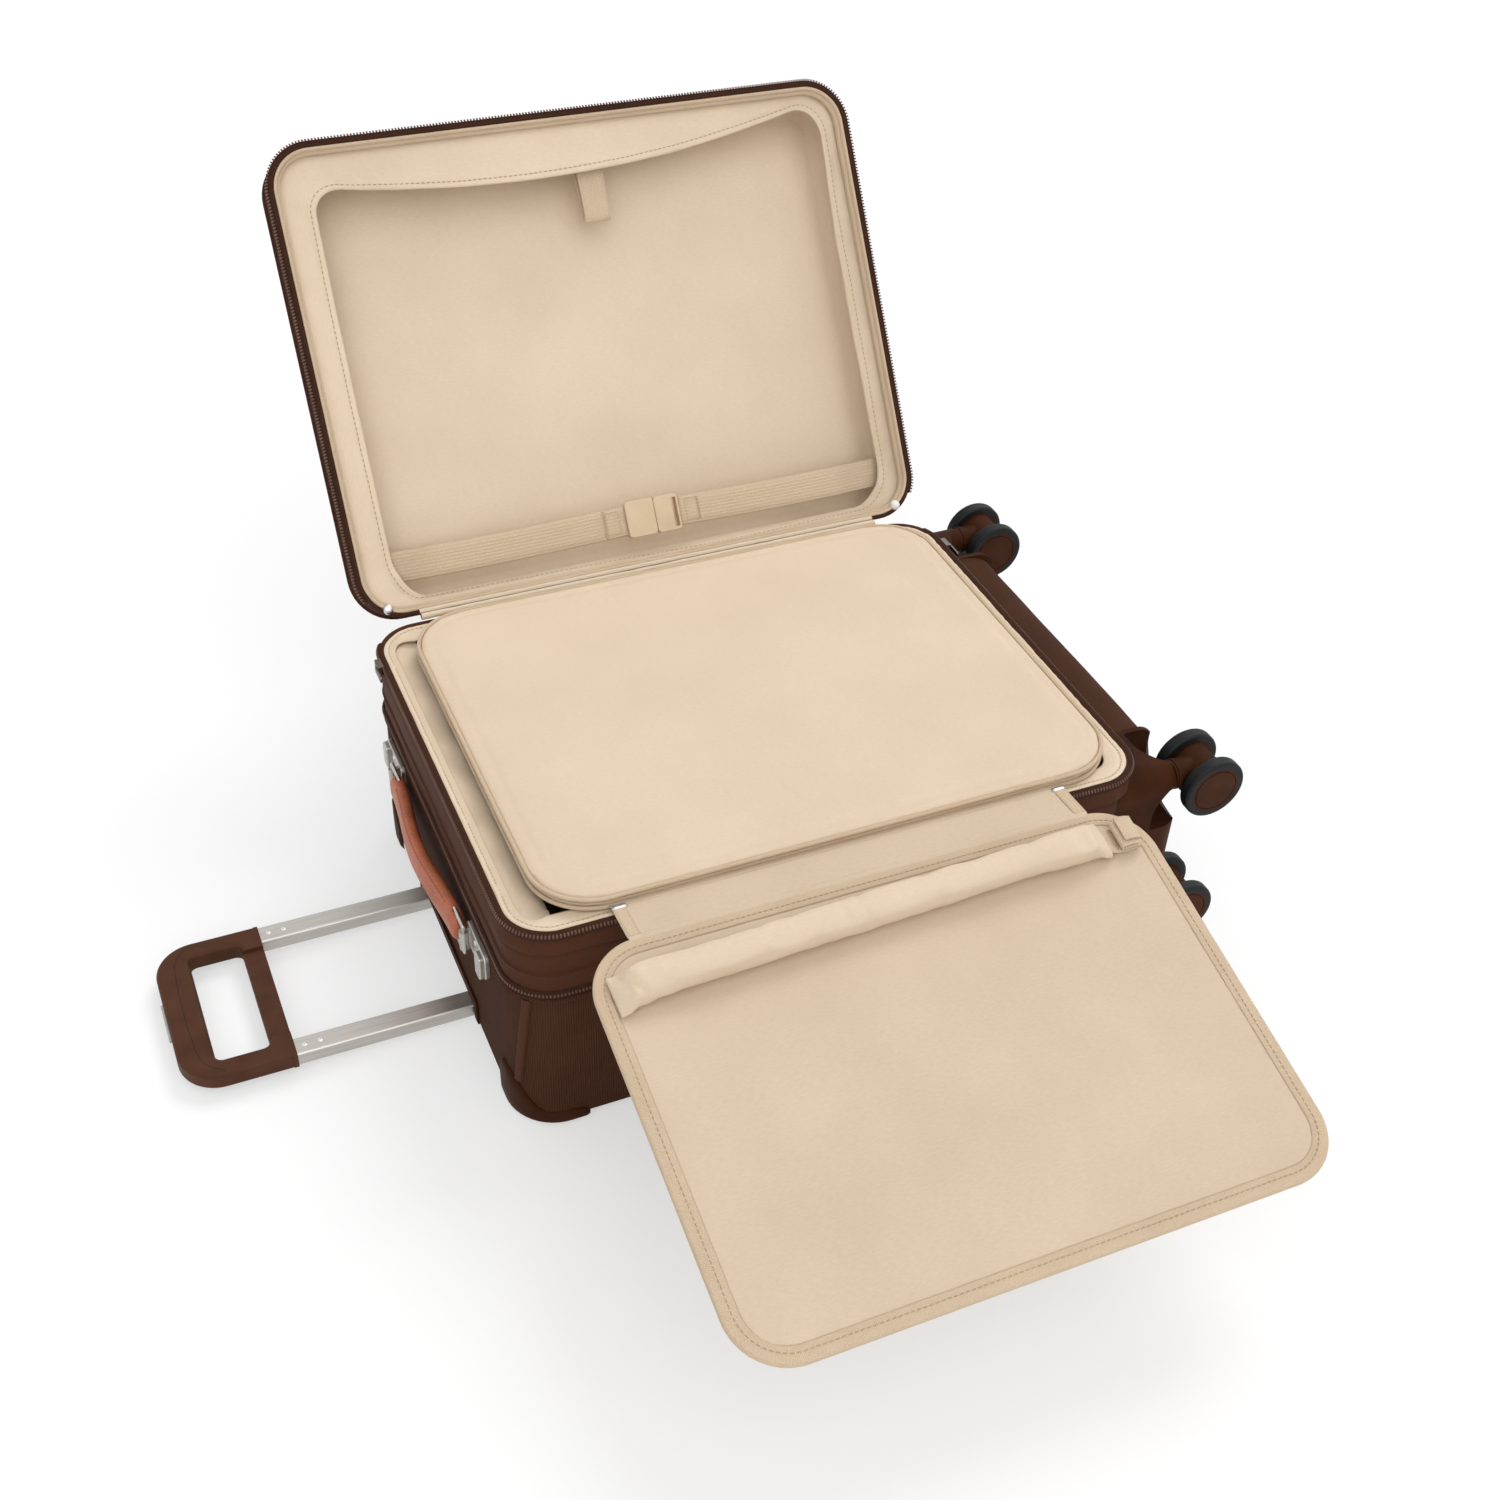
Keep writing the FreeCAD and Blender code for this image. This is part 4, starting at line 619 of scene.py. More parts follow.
def puffed(part, voxel, limit, growth, sewn):
    """A closed pad swollen by cloth simulation: meshed evenly, blown up, held to a limit and made finer.

    The test called sewn picks the points that stitching keeps in place, and growth is the slack of the cloth.
    """
    points, faces, uvs = part
    mesh = bpy.data.meshes.new("pad")
    mesh.from_pydata(np.asarray(points).tolist(), [], faces)
    worked = bpy.data.objects.new("pad", mesh)
    scene = bpy.context.scene
    scene.collection.objects.link(worked)
    scene.frame_set(1)
    even = worked.modifiers.new("even", "REMESH")
    even.mode = "VOXEL"
    even.voxel_size = voxel
    worked.data = bpy.data.meshes.new_from_object(worked.evaluated_get(bpy.context.evaluated_depsgraph_get()))
    worked.modifiers.clear()
    start, faces = mesh_arrays(worked.data)
    held = worked.vertex_groups.new(name="sewn")
    held.add(np.nonzero(sewn(start))[0].tolist(), 1.0, "REPLACE")
    swell = worked.modifiers.new("swell", "CLOTH")
    swell.settings.quality = 5
    swell.settings.use_pressure = True
    swell.settings.uniform_pressure_force = SWELL_PRESSURE
    swell.settings.shrink_min = -growth
    swell.settings.vertex_group_mass = "sewn"
    swell.settings.effector_weights.gravity = 0.0
    swell.point_cache.frame_start = 1
    swell.point_cache.frame_end = SWELL_FRAMES
    for number in range(1, SWELL_FRAMES + 1):
        scene.frame_set(number)
    swollen = worked.evaluated_get(bpy.context.evaluated_depsgraph_get())
    moved = mesh_arrays(swollen.data)[0] - start
    worked.modifiers.clear()
    scene.frame_set(1)
    reach = np.linalg.norm(moved, axis=1, keepdims=True)
    moved *= limit * np.tanh(reach / limit) / np.maximum(reach, 1e-9)
    worked.data.vertices.foreach_set("co", (start + moved).ravel())
    worked.data.update()
    finer = worked.modifiers.new("finer", "SUBSURF")
    finer.levels = 1
    done = bpy.data.meshes.new_from_object(worked.evaluated_get(bpy.context.evaluated_depsgraph_get()))
    points, faces = mesh_arrays(done)
    bpy.data.objects.remove(worked)
    return points, faces, np.stack([points[:, 0], points[:, 1] + points[:, 2]], -1)


# Colours and finishes

def srgb(red, green, blue):
    """Screen colour as the linear colour that shaders use."""
    def channel(value):
        share = value / 255
        return share / 12.92 if share <= 0.04045 else ((share + 0.055) / 1.055) ** 2.4
    return (channel(red), channel(green), channel(blue), 1.0)


class Finish:
    """One procedural material and the nodes that feed it."""

    def __init__(self, name, roughness, metallic=0.0, sheen=0.0, coat=0.0, shine=0.5):
        self.material = bpy.data.materials.new(name)
        self.material.use_nodes = True
        self.nodes = self.material.node_tree.nodes
        self.links = self.material.node_tree.links
        self.surface = self.nodes["Principled BSDF"]
        self.surface.inputs["Roughness"].default_value = roughness
        self.surface.inputs["Metallic"].default_value = metallic
        self.surface.inputs["Sheen Weight"].default_value = sheen
        self.surface.inputs["Sheen Roughness"].default_value = 0.5
        self.surface.inputs["Coat Weight"].default_value = coat
        self.surface.inputs["Specular IOR Level"].default_value = shine
        self.normal = None

    def uv(self):
        return self.nodes.new("ShaderNodeUVMap").outputs["UV"]

    def place(self):
        return self.nodes.new("ShaderNodeTexCoord").outputs["Object"]

    def axis(self, where, name):
        split = self.nodes.new("ShaderNodeSeparateXYZ")
        self.links.new(where, split.inputs["Vector"])
        return split.outputs[name]

    def number(self, operation, first, second=0.0):
        node = self.nodes.new("ShaderNodeMath")
        node.operation = operation
        for socket, value in zip(node.inputs, (first, second)):
            if isinstance(value, (int, float)):
                socket.default_value = value
            else:
                self.links.new(value, socket)
        return node.outputs[0]

    def sum_of(self, *weighed):
        """Sum of outputs, each times its weight."""
        terms = [self.number("MULTIPLY", output, weight) for output, weight in weighed]
        total = terms[0]
        for term in terms[1:]:
            total = self.number("ADD", total, term)
        return total

    def stripes(self, along, pitch):
        """Smooth ridges, from -1 to 1, at a pitch in metres."""
        return self.number("SINE", self.number("MULTIPLY", along, 2 * math.pi / pitch))

    def speckle(self, where, size, detail=3.0, stretch=(1, 1, 1)):
        """Noise from 0 to 1 with patches of about a given size."""
        if stretch != (1, 1, 1):
            mapping = self.nodes.new("ShaderNodeMapping")
            mapping.inputs["Scale"].default_value = stretch
            self.links.new(where, mapping.inputs["Vector"])
            where = mapping.outputs["Vector"]
        node = self.nodes.new("ShaderNodeTexNoise")
        node.inputs["Scale"].default_value = 1 / size
        node.inputs["Detail"].default_value = detail
        self.links.new(where, node.inputs["Vector"])
        return node.outputs["Fac"]

    def cells(self, where, size):
        node = self.nodes.new("ShaderNodeTexVoronoi")
        node.inputs["Scale"].default_value = 1 / size
        self.links.new(where, node.inputs["Vector"])
        return node.outputs["Distance"]

    def mix(self, share, first, second):
        node = self.nodes.new("ShaderNodeMix")
        node.data_type = "RGBA"
        self.links.new(share, node.inputs["Factor"])
        for socket, value in zip((node.inputs[6], node.inputs[7]), (first, second)):
            if isinstance(value, tuple):
                socket.default_value = value
            else:
                self.links.new(value, socket)
        return node.outputs[2]

    def spread(self, value, low, high):
        """A 0 to 1 value taken from a low and high bound to 0 and 1."""
        node = self.nodes.new("ShaderNodeMapRange")
        node.inputs["From Min"].default_value = low
        node.inputs["From Max"].default_value = high
        self.links.new(value, node.inputs["Value"])
        return node.outputs["Result"]

    def colour(self, output):
        self.links.new(output, self.surface.inputs["Base Color"])

    def roughen(self, value, low, high):
        node = self.nodes.new("ShaderNodeMapRange")
        node.inputs["To Min"].default_value = low
        node.inputs["To Max"].default_value = high
        self.links.new(value, node.inputs["Value"])
        self.links.new(node.outputs["Result"], self.surface.inputs["Roughness"])

    def relief(self, height, depth):
        """Bump of a depth in metres, added to those before it."""
        node = self.nodes.new("ShaderNodeBump")
        node.inputs["Strength"].default_value = 1.0
        node.inputs["Distance"].default_value = depth
        self.links.new(height, node.inputs["Height"])
        if self.normal is not None:
            self.links.new(self.normal, node.inputs["Normal"])
        self.normal = node.outputs["Normal"]
        self.links.new(self.normal, self.surface.inputs["Normal"])


def cloth(name, pale, deep, pitch, sheen=0.06, roughness=0.72, relief=0.00012):
    """Plain woven cloth with fine threads both ways, soft unevenness and a faint sheen."""
    finish = Finish(name, roughness, sheen=sheen, shine=0.3)
    flat = finish.uv()
    threads = finish.number("MULTIPLY", finish.stripes(finish.axis(flat, "X"), pitch),
                            finish.stripes(finish.axis(flat, "Y"), pitch))
    patches = finish.speckle(finish.place(), 0.09, 4.0)
    slubs = finish.speckle(flat, 0.0016, 2.0, stretch=(0.3, 1, 1))
    tone = finish.sum_of((patches, 0.55), (slubs, 0.45))
    finish.colour(finish.mix(finish.spread(tone, 0.3, 0.7), deep, pale))
    finish.roughen(slubs, roughness - 0.08, roughness + 0.08)
    finish.relief(finish.speckle(finish.place(), 0.035, 3.0), 0.0007)
    finish.relief(threads, relief)
    return finish.material


def ribbed_cloth(name, pale, deep, pitch, roughness=0.82, relief=0.00035, shine=0.12):
    """Heavy ribbed cloth: cords along its second direction, crossed by fine threads, with painted shade
    between cords.
    """
    finish = Finish(name, roughness, shine=shine)
    flat = finish.uv()
    cords = finish.stripes(finish.axis(flat, "X"), pitch)
    threads = finish.stripes(finish.axis(flat, "Y"), pitch * 0.45)
    patches = finish.speckle(finish.place(), 0.05, 4.0)
    slubs = finish.speckle(flat, 0.0012, 2.0)
    # The tone follows the cords: paler on them and darker in the grooves between them, as painted shade.
    tone = finish.sum_of((patches, 0.2), (slubs, 0.3), (cords, 0.06))
    finish.colour(finish.mix(finish.spread(tone, 0.1, 0.4), deep, pale))
    finish.roughen(slubs, roughness - 0.1, roughness + 0.1)
    finish.relief(finish.speckle(finish.place(), 0.03, 3.0), 0.0006)
    finish.relief(cords, relief)
    finish.relief(threads, relief * 0.5)
    return finish.material


def webbing_cloth(name, pale, deep, pitch):
    """Strap webbing: a fine twill with ridges along it and painted shade in its slanting grooves."""
    finish = Finish(name, 0.7, sheen=0.05, shine=0.25)
    flat = finish.uv()
    along = finish.axis(flat, "X")
    across = finish.axis(flat, "Y")
    slant = finish.stripes(finish.sum_of((along, 1.0), (across, 0.8)), pitch)
    ridges = finish.stripes(across, pitch * 2)
    slubs = finish.speckle(flat, 0.0014, 2.0)
    # The tone follows the slanting twill lines, darker in their grooves: painted shade.
    tone = finish.sum_of((slubs, 0.6), (slant, 0.12))
    finish.colour(finish.mix(finish.spread(tone, 0.15, 0.5), deep, pale))
    finish.relief(slant, 0.00018)
    finish.relief(ridges, 0.00012)
    return finish.material


def moulded(name, pale, deep, roughness, grain=0.0009, relief=0.00006, shine=0.25):
    """Moulded plastic with a fine grain, slight mottling and rubbed patches."""
    finish = Finish(name, roughness, shine=shine)
    where = finish.place()
    mottle = finish.speckle(where, 0.03, 4.0)
    fine = finish.speckle(where, grain, 2.0)
    finish.colour(finish.mix(finish.spread(mottle, 0.3, 0.7), deep, pale))
    finish.roughen(finish.speckle(where, 0.012, 5.0), roughness - 0.1, roughness + 0.1)
    finish.relief(fine, relief)
    return finish.material


def brushed(name, pale, deep, roughness, stretch, streak=0.0012):
    """Bare metal with brush lines along one direction and faint smudges."""
    finish = Finish(name, roughness, metallic=1.0)
    where = finish.place()
    lines = finish.speckle(where, streak, 3.0, stretch)
    smudges = finish.speckle(where, 0.025, 3.0)
    finish.colour(finish.mix(finish.spread(lines, 0.3, 0.7), deep, pale))
    finish.roughen(finish.sum_of((lines, 0.5), (smudges, 0.5)), roughness - 0.08, roughness + 0.14)
    finish.relief(lines, 0.00003)
    return finish.material


def hide(name, pale, deep):
    """Smooth leather with a fine pebbled grain and soft patches."""
    finish = Finish(name, 0.45, coat=0.05, shine=0.35)
    where = finish.place()
    pebbles = finish.cells(where, 0.0016)
    patches = finish.speckle(where, 0.02, 5.0)
    tone = finish.sum_of((patches, 0.75), (pebbles, 0.35))
    finish.colour(finish.mix(finish.spread(tone, 0.3, 0.75), deep, pale))
    finish.roughen(patches, 0.36, 0.56)
    finish.relief(pebbles, 0.00016)
    finish.relief(finish.speckle(where, 0.006, 4.0), 0.0003)
    return finish.material


LINING_PALE = srgb(233, 213, 188)
LINING_DEEP = srgb(222, 202, 175)
PANEL_PALE = srgb(227, 206, 181)
PANEL_DEEP = srgb(217, 196, 170)
TWILL_PALE = srgb(93, 57, 39)
TWILL_DEEP = srgb(60, 35, 22)

lining = cloth("lining cloth", LINING_PALE, LINING_DEEP, 0.0011)
panel_cloth = cloth("panel cloth", PANEL_PALE, PANEL_DEEP, 0.0011)
flap_cloth = cloth("flap cloth", srgb(217, 196, 171), srgb(205, 184, 158), 0.0011)
edge_tape = ribbed_cloth("edge tape", srgb(226, 203, 175), srgb(204, 180, 151), 0.0013, relief=0.00015,
                         shine=0.25)
pale_webbing = webbing_cloth("pale webbing", srgb(226, 204, 176), srgb(202, 178, 149), 0.0016)
twill = ribbed_cloth("ribbed twill", TWILL_PALE, TWILL_DEEP, 0.0021)
satin_band = ribbed_cloth("smooth band", srgb(86, 50, 32), srgb(66, 37, 22), 0.0012, roughness=0.6,
                          relief=0.0001, shine=0.1)
zip_cloth = ribbed_cloth("zip tape", srgb(80, 49, 35), srgb(56, 33, 23), 0.0012, relief=0.0002)
zip_teeth = moulded("zip teeth", srgb(112, 82, 68), srgb(84, 58, 46), 0.38)
pale_thread = cloth("pale thread", srgb(196, 170, 138), srgb(172, 146, 114), 0.0008)
tan_thread = cloth("tan thread", srgb(182, 110, 76), srgb(146, 82, 54), 0.0008)
bright_metal = brushed("bright metal", (0.78, 0.77, 0.75, 1), (0.55, 0.54, 0.53, 1), 0.3, (1, 1, 1), 0.002)
zip_metal = brushed("zip metal", (0.2, 0.17, 0.15, 1), (0.11, 0.095, 0.085, 1), 0.4, (1, 1, 1), 0.002)
tube_metal = brushed("tube metal", (0.55, 0.52, 0.485, 1), (0.43, 0.405, 0.375, 1), 0.34, (0.02, 1, 1))
bracket_metal = brushed("bracket metal", (0.6, 0.57, 0.53, 1), (0.4, 0.38, 0.35, 1), 0.34, (1, 0.05, 1))
brown_moulded = moulded("brown moulding", srgb(63, 33, 17), srgb(48, 24, 10), 0.55, relief=0.00008,
                        shine=0.05)
grip_moulded = moulded("grip moulding", srgb(82, 51, 35), srgb(66, 40, 26), 0.5, relief=0.00005, shine=0.1)
pale_moulded = moulded("pale moulding", srgb(216, 193, 163), srgb(200, 176, 146), 0.4)
white_moulded = moulded("white moulding", srgb(236, 234, 230), srgb(222, 220, 215), 0.45)
grey_moulded = moulded("grey moulding", srgb(176, 174, 170), srgb(160, 158, 154), 0.42)
hub_moulded = moulded("hub moulding", srgb(71, 41, 25), srgb(56, 30, 17), 0.55, shine=0.06)
tyre_rubber = moulded("tyre rubber", srgb(27, 28, 30), srgb(17, 18, 20), 0.55, grain=0.0007, relief=0.0001,
                      shine=0.2)
tan_leather = hide("tan leather", srgb(188, 108, 74), srgb(150, 78, 50))
# Near-black colour of painted shade, for holes and grooves that are drawn as dark marks.
shadow_gap = moulded("shadow gap", srgb(24, 15, 11), srgb(16, 10, 8), 0.8)


# Profiles of rings, as rows of an outward place and a height

def raised(rows, level, offset=0.0):
    """Rows that are measured from a level, and from an offset where one is given."""
    return [(offset + out, level + up) for out, up in rows]


def climbing_rows(start, end, step, offset=0.0):
    """Rows up or down a straight wall."""
    count = max(2, round((end - start) / step))
    return [(offset, start + (end - start) * index / count) for index in range(count + 1)]


def piping_rows(centre):
    """Rows of a corded seam that stands out of a wall."""
    sunk = -0.0006
    half_out = PIPING_PROUD * 0.55
    foot, shoulder = PIPING_HEIGHT * 0.62, PIPING_HEIGHT * 0.42
    rows = [(sunk, -foot), (half_out, -shoulder), (PIPING_PROUD, 0.0), (half_out, shoulder), (sunk, foot)]
    return raised(rows, centre)


def quarter_round(wall, top, radius, steps, first=0):
    """Rows of a quarter circle from a wall up to a flat top."""
    angles = [math.radians(90 * step / steps) for step in range(first, steps + 1)]
    return [(wall - radius * (1 - math.cos(angle)), top - radius + radius * math.sin(angle))
            for angle in angles]


# Tub

def wall_ring(rows):
    """Ring round the body whose cloth is slightly uneven on the wall."""
    loop = body_loop()
    grid = ring(loop, rows)
    profile = np.array(rows)
    on_wall = (profile[:, 0] > -0.001) & (profile[:, 1] > 0.015)
    push_out(grid, loop, (rumple(grid, 0.06, 0.0007, 1.0) - 0.0004) * on_wall)
    return grid


def make_tub_wall():
    """Twill wall up to a corded seam, turned under at the bottom and cut away for the trolley's grip."""
    turned_under = [(-SKIRT, 0.002), (-SKIRT + 0.002, 0.0), (-0.007, 0.0004), (-0.0035, 0.0016),
                    (-0.0012, 0.0042), (-0.0002, 0.0085)]
    rows = [(-SKIRT, FLOOR_UNDER)] + raised(turned_under, TUB_LOW)
    rows += climbing_rows(TUB_LOW + 0.012, LOWER_PIPING_Z - 0.006, 0.007)
    rows += piping_rows(LOWER_PIPING_Z)
    points, faces, uvs = surface(wall_ring(rows))
    middles = points[np.array(faces)].mean(axis=1)
    half_opening = GRIP_HIGH.y + 0.0025
    in_opening = ((middles[:, 0] < -BODY_X + SKIRT + 0.001) & (np.abs(middles[:, 1]) < half_opening)
                  & (middles[:, 2] < FLOOR_UNDER))
    faces = [face for face, cut in zip(faces, in_opening) if not cut]
    under = surface(points_at(*body_grid(SKIRT, 0.02, (0, 0.01)), FLOOR_UNDER))
    make_piece("tub_wall", "tub", twill, merged((points, faces, uvs), under), ["tub_shell"], "twill")


def make_tub_bands():
    """Smooth bands above the seam: one with a pressed fold, one that laps over it, hemmed at the rim."""
    fold = [(0.0009, -0.0016), (0.0011, -0.0002), (-0.0010, 0.0006), (-0.0006, 0.003)]
    lap = [(-0.0012, -0.0040), (-0.0024, -0.0018), (0.0010, -0.0014), (0.0020, 0.0004), (0.0019, 0.0030),
           (0.0010, 0.0070)]
    hem = [(-0.0004, -0.0006), (-0.0015, 0.0), (-0.004, -0.0002), (-0.0049, -0.001), (-0.0049, -0.02)]
    rows = [(-0.0006, LOWER_PIPING_Z + 0.0027)]
    rows += climbing_rows(LOWER_PIPING_Z + 0.004, BAND_FOLD_Z - 0.005, 0.006)
    rows += raised(fold, BAND_FOLD_Z)
    rows += climbing_rows(BAND_FOLD_Z + 0.007, UPPER_PIPING_Z - 0.007, 0.006)
    rows += raised(lap, UPPER_PIPING_Z)
    rows += climbing_rows(UPPER_PIPING_Z + 0.011, RIM_Z - 0.002, 0.005)
    rows += raised(hem, RIM_Z)
    make_piece("tub_bands", "tub", satin_band, surface(wall_ring(rows)), slot="twill")


def make_tub_lining():
    """Lining of the tub: puckered lip under the rim, narrow at the handle end, soft walls and a floor."""
    inset = -WALL_INSET
    seam = inset - 0.0045
    at_rim = [(0.0, -0.0014), (-0.0012, -0.0004), (-0.003, -0.0006), (-0.0045, -0.0016), (-0.007, -0.0012)]
    lip = [(-0.0105, 0.0004), (-0.0135, 0.0), (-0.0165, -0.0001), (-0.019, -0.0004), (-0.02, -0.001),
           (-0.0194, -0.0016), (-0.010, -0.0022), (-0.0024, -0.004)]
    at_floor = [(-0.004, 0.0015), (-0.009, 0.0)]
    rows = raised(at_rim, RIM_Z, inset) + raised(lip, LIP_Z, inset)
    rows += climbing_rows(LIP_Z - 0.01, LINING_FLOOR + 0.006, 0.012, inset - 0.0024)
    rows += raised(at_floor, LINING_FLOOR, inset)
    loop = body_loop(0.003)
    grid = ring(loop, rows)
    out, up = np.array(rows).T
    at_handle_end = ramp(-loop[0][:, 0], BODY_X - 0.030, 0.020)[:, None]
    above_lip = up > LIP_Z - 0.003
    push_out(grid, loop, 0.6 * at_handle_end * ((seam - out) * ((out < seam) & above_lip))[None, :])
    puckers = rumple(grid, 0.0065, 0.0016, 4.0) + rumple(grid, 0.02, 0.0010, 5.0)
    puckers = np.clip(puckers, -0.002, 0.0003 + 0.001 * at_handle_end)
    grid[..., 2] += puckers * (np.exp(-((out - seam) / 0.007) ** 2) * above_lip)
    on_wall = (up < LIP_Z - 0.009) & (up > LINING_FLOOR + 0.003)
    push_out(grid, loop, np.minimum(rumple(grid, 0.05, 0.003, 6.0) - 0.002, 0) * on_wall)
    floor = points_at(*body_grid(WALL_INSET + 0.009, 0.015, (0, 0.008)), LINING_FLOOR)
    shelf_rows = [(-0.0022, -0.0045), (-0.012, -0.0050), (-0.022, -0.0062), (-0.031, -0.0085),
                  (-0.037, -0.0130)]
    shelf = ring(part_of(loop, lambda x, y: x < -BODY_X + CORNER), raised(shelf_rows, LIP_Z, inset))
    shelf[..., 2] += np.minimum(rumple(shelf, 0.03, 0.003, 33.0), 0.0008)
    cloths = merged(surface(grid), surface(floor), surface(shelf))
    make_piece("tub_lining_cloth", "tub", lining, cloths, ["tub_lining"], "lining_cloth")
    stitching = ring(loop, [(seam + 0.0001, RIM_Z - 0.0009)])[:, 0]
    make_piece("tub_lip_stitches", "tub", pale_thread, beads(stitching, (0, 0, 1), *LIP_STITCH))


def make_zip_ring(name, body, keep, level, rows, tooth, tooth_out, place=as_drawn):
    """Woven zip tape round the body with a row of coil teeth on it, both measured from a level."""
    loop = part_of(body_loop(0.004), keep)
    tape = place(ring(loop, raised(rows, level)))
    make_piece(f"{name}_tape", body, zip_cloth, surface(tape), [name], "zip_tape")
    line = place(ring(loop, raised([tooth], level))[:, 0])
    ahead = place(ring(loop, raised([tooth_out], level + tooth[1], tooth[0]))[:, 0])
    make_piece(f"{name}_teeth", body, zip_teeth, beads(line, ahead - line, *ZIP_TOOTH))


def make_zips():
    """The main zip's two sides, the expansion zip, and the ends of the main zip beside the hinge."""
    def clear_of_hinge(x, y):
        return y < BODY_Y - ZIP_STOP

    def clear_of_wheels(x, y):
        return x < BODY_X - EXPANSION_ZIP_STOP

    tub_rows = [(0.0002, -0.0082), (0.0013, -0.0070), (0.0017, -0.0045), (0.0014, -0.0016), (0.0004, -0.0001),
                (-0.0016, 0.0002), (-0.0036, 0.0001)]
    make_zip_ring("tub_zip", "tub", clear_of_hinge, RIM_Z, tub_rows, (0.0011, -0.0016), (0.0007, 0.0006))
    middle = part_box("expansion_zip")[0].z + 0.0025
    expansion_rows = [(0.0002, -0.0042), (0.0011, -0.003), (0.0013, 0.0), (0.0011, 0.003), (0.0002, 0.0042)]
    make_zip_ring("expansion_zip", "tub", clear_of_wheels, middle, expansion_rows, (0.0017, 0.0),
                  (0.001, 0.0))
    lid_rows = [(-0.0042, 0.0004), (-0.0015, -0.0002), (0.0008, 0.0002), (0.0019, 0.0018), (0.0022, 0.005),
                (0.0004, 0.0072)]
    make_zip_ring("lid_zip", "lid", clear_of_hinge, LID_RIM, lid_rows, (0.0025, 0.0011), (0.0008, -0.0006),
                  opened)
    out = facing(opened, (0, 0, -1))
    for (name, side), finish in zip(ENDS, (bright_metal, white_moulded)):
        spot = opened((side * (BODY_X - 0.0235), BODY_Y - 0.0105, LID_RIM + 0.001))
        make_piece(f"zip_end_{name}", "lid", finish, dome(spot, out, *ZIP_END, 7, 20), slot="zip_metal")


def make_corner_strips():
    """Rounded strips of twill down the corners of the handle end."""
    low, half_width, sunk, proud = 0.046, 0.0045, 0.0004, 0.0026
    rise = np.linspace(0, 1, 30)
    across = np.linspace(-1, 1, 11)
    height = low + (LOWER_PIPING_Z - low) * rise
    lean = np.radians(27 + 18 * rise)
    reach = CORNER - sunk + proud * np.sqrt(np.clip(1 - across ** 4, 0, 1))
    angle = lean[:, None] + across[None, :] * half_width / CORNER
    for name, side in LONG_SIDES:
        grid = points_at(-BODY_X + CORNER - reach * np.cos(angle),
                         side * (BODY_Y - CORNER + reach * np.sin(angle)), height[:, None])
        make_piece(f"corner_strip_{name}", "tub", satin_band, surface(grid), slot="twill")


def make_corner_guards():
    """Moulded guards on the corners of the handle end, low on the long wall and higher on the end wall."""
    span = 0.060
    section = [(-0.0006, 1.0, 0.0), (0.0014, 1.0, -0.0003), (0.0025, 1.0, -0.0018), (0.0030, 1.0, -0.0046),
               (0.0030, 0.55, 0.0), (0.0029, 0.25, 0.0), (0.0026, 0.0, 0.0022), (0.0016, 0.0, 0.0007),
               (-0.0006, 0.0, 0.0001)]
    for name, side in LONG_SIDES:
        places, outward = part_of(body_loop(0.0025),
                                  lambda x, y: x < -BODY_X + span and side * y > BODY_Y - span)
        steps = np.concatenate([[0], np.cumsum(np.linalg.norm(np.diff(places, axis=0), axis=1))])
        from_end = np.minimum(steps, steps[-1] - steps)
        turn = np.degrees(np.arctan2(np.abs(outward[:, 1]), -outward[:, 0]))
        rise = 0.013 + 0.034 * (1 - eased(ramp(turn, 8, 58)))
        rise *= 0.45 + 0.55 * np.sqrt(ramp(from_end, 0, 0.012))
        taper = np.sqrt(ramp(from_end, 0, 0.005))
        columns = []
        for offset, share, shift in section:
            proud = np.where(offset > 0, offset * taper, offset)
            x, y = (places + outward * proud[:, None]).T
            columns.append(points_at(x, y, TUB_LOW + rise * share + shift))
        guard = surface(np.stack(columns, axis=1))
        make_piece(f"corner_guard_{name}", "tub", brown_moulded, guard, ["corner_guards"], "moulded_plastic")


# Lid

def make_lid_skin():
    """Twill skin of the lid with a corded ridge and a crowned front."""
    ridge = LID_TOP - LID_EDGE_ROUND - 0.0022
    front_level = LID_TOP + 0.0006
    hem = [(-0.0039, 0.012), (-0.0039, 0.001), (-0.003, 0.0), (-0.001, 0.0), (-0.0002, 0.001)]
    rows = raised(hem, LID_RIM) + climbing_rows(LID_RIM + 0.003, ridge - 0.005, 0.005)
    rows += piping_rows(ridge) + quarter_round(0.0, front_level, LID_EDGE_ROUND, 8)
    loop = body_loop()
    grid = ring(loop, rows)
    heights = np.array(rows)[:, 1]
    on_wall = (heights > LID_RIM + 0.004) & (heights < ridge - 0.004)
    push_out(grid, loop, (rumple(grid, 0.07, 0.0008, 2.0) - 0.0004) * on_wall)
    front = points_at(*body_grid(LID_EDGE_ROUND, 0.012, (0, 0.006)), front_level)
    front[..., 2] += np.minimum(rumple(front, 0.09, 0.0012, 7.0), 0)
    skin = merged(surface(opened(grid)), surface(opened(front)))
    make_piece("lid_skin", "lid", twill, skin, ["lid_shell"], "twill")


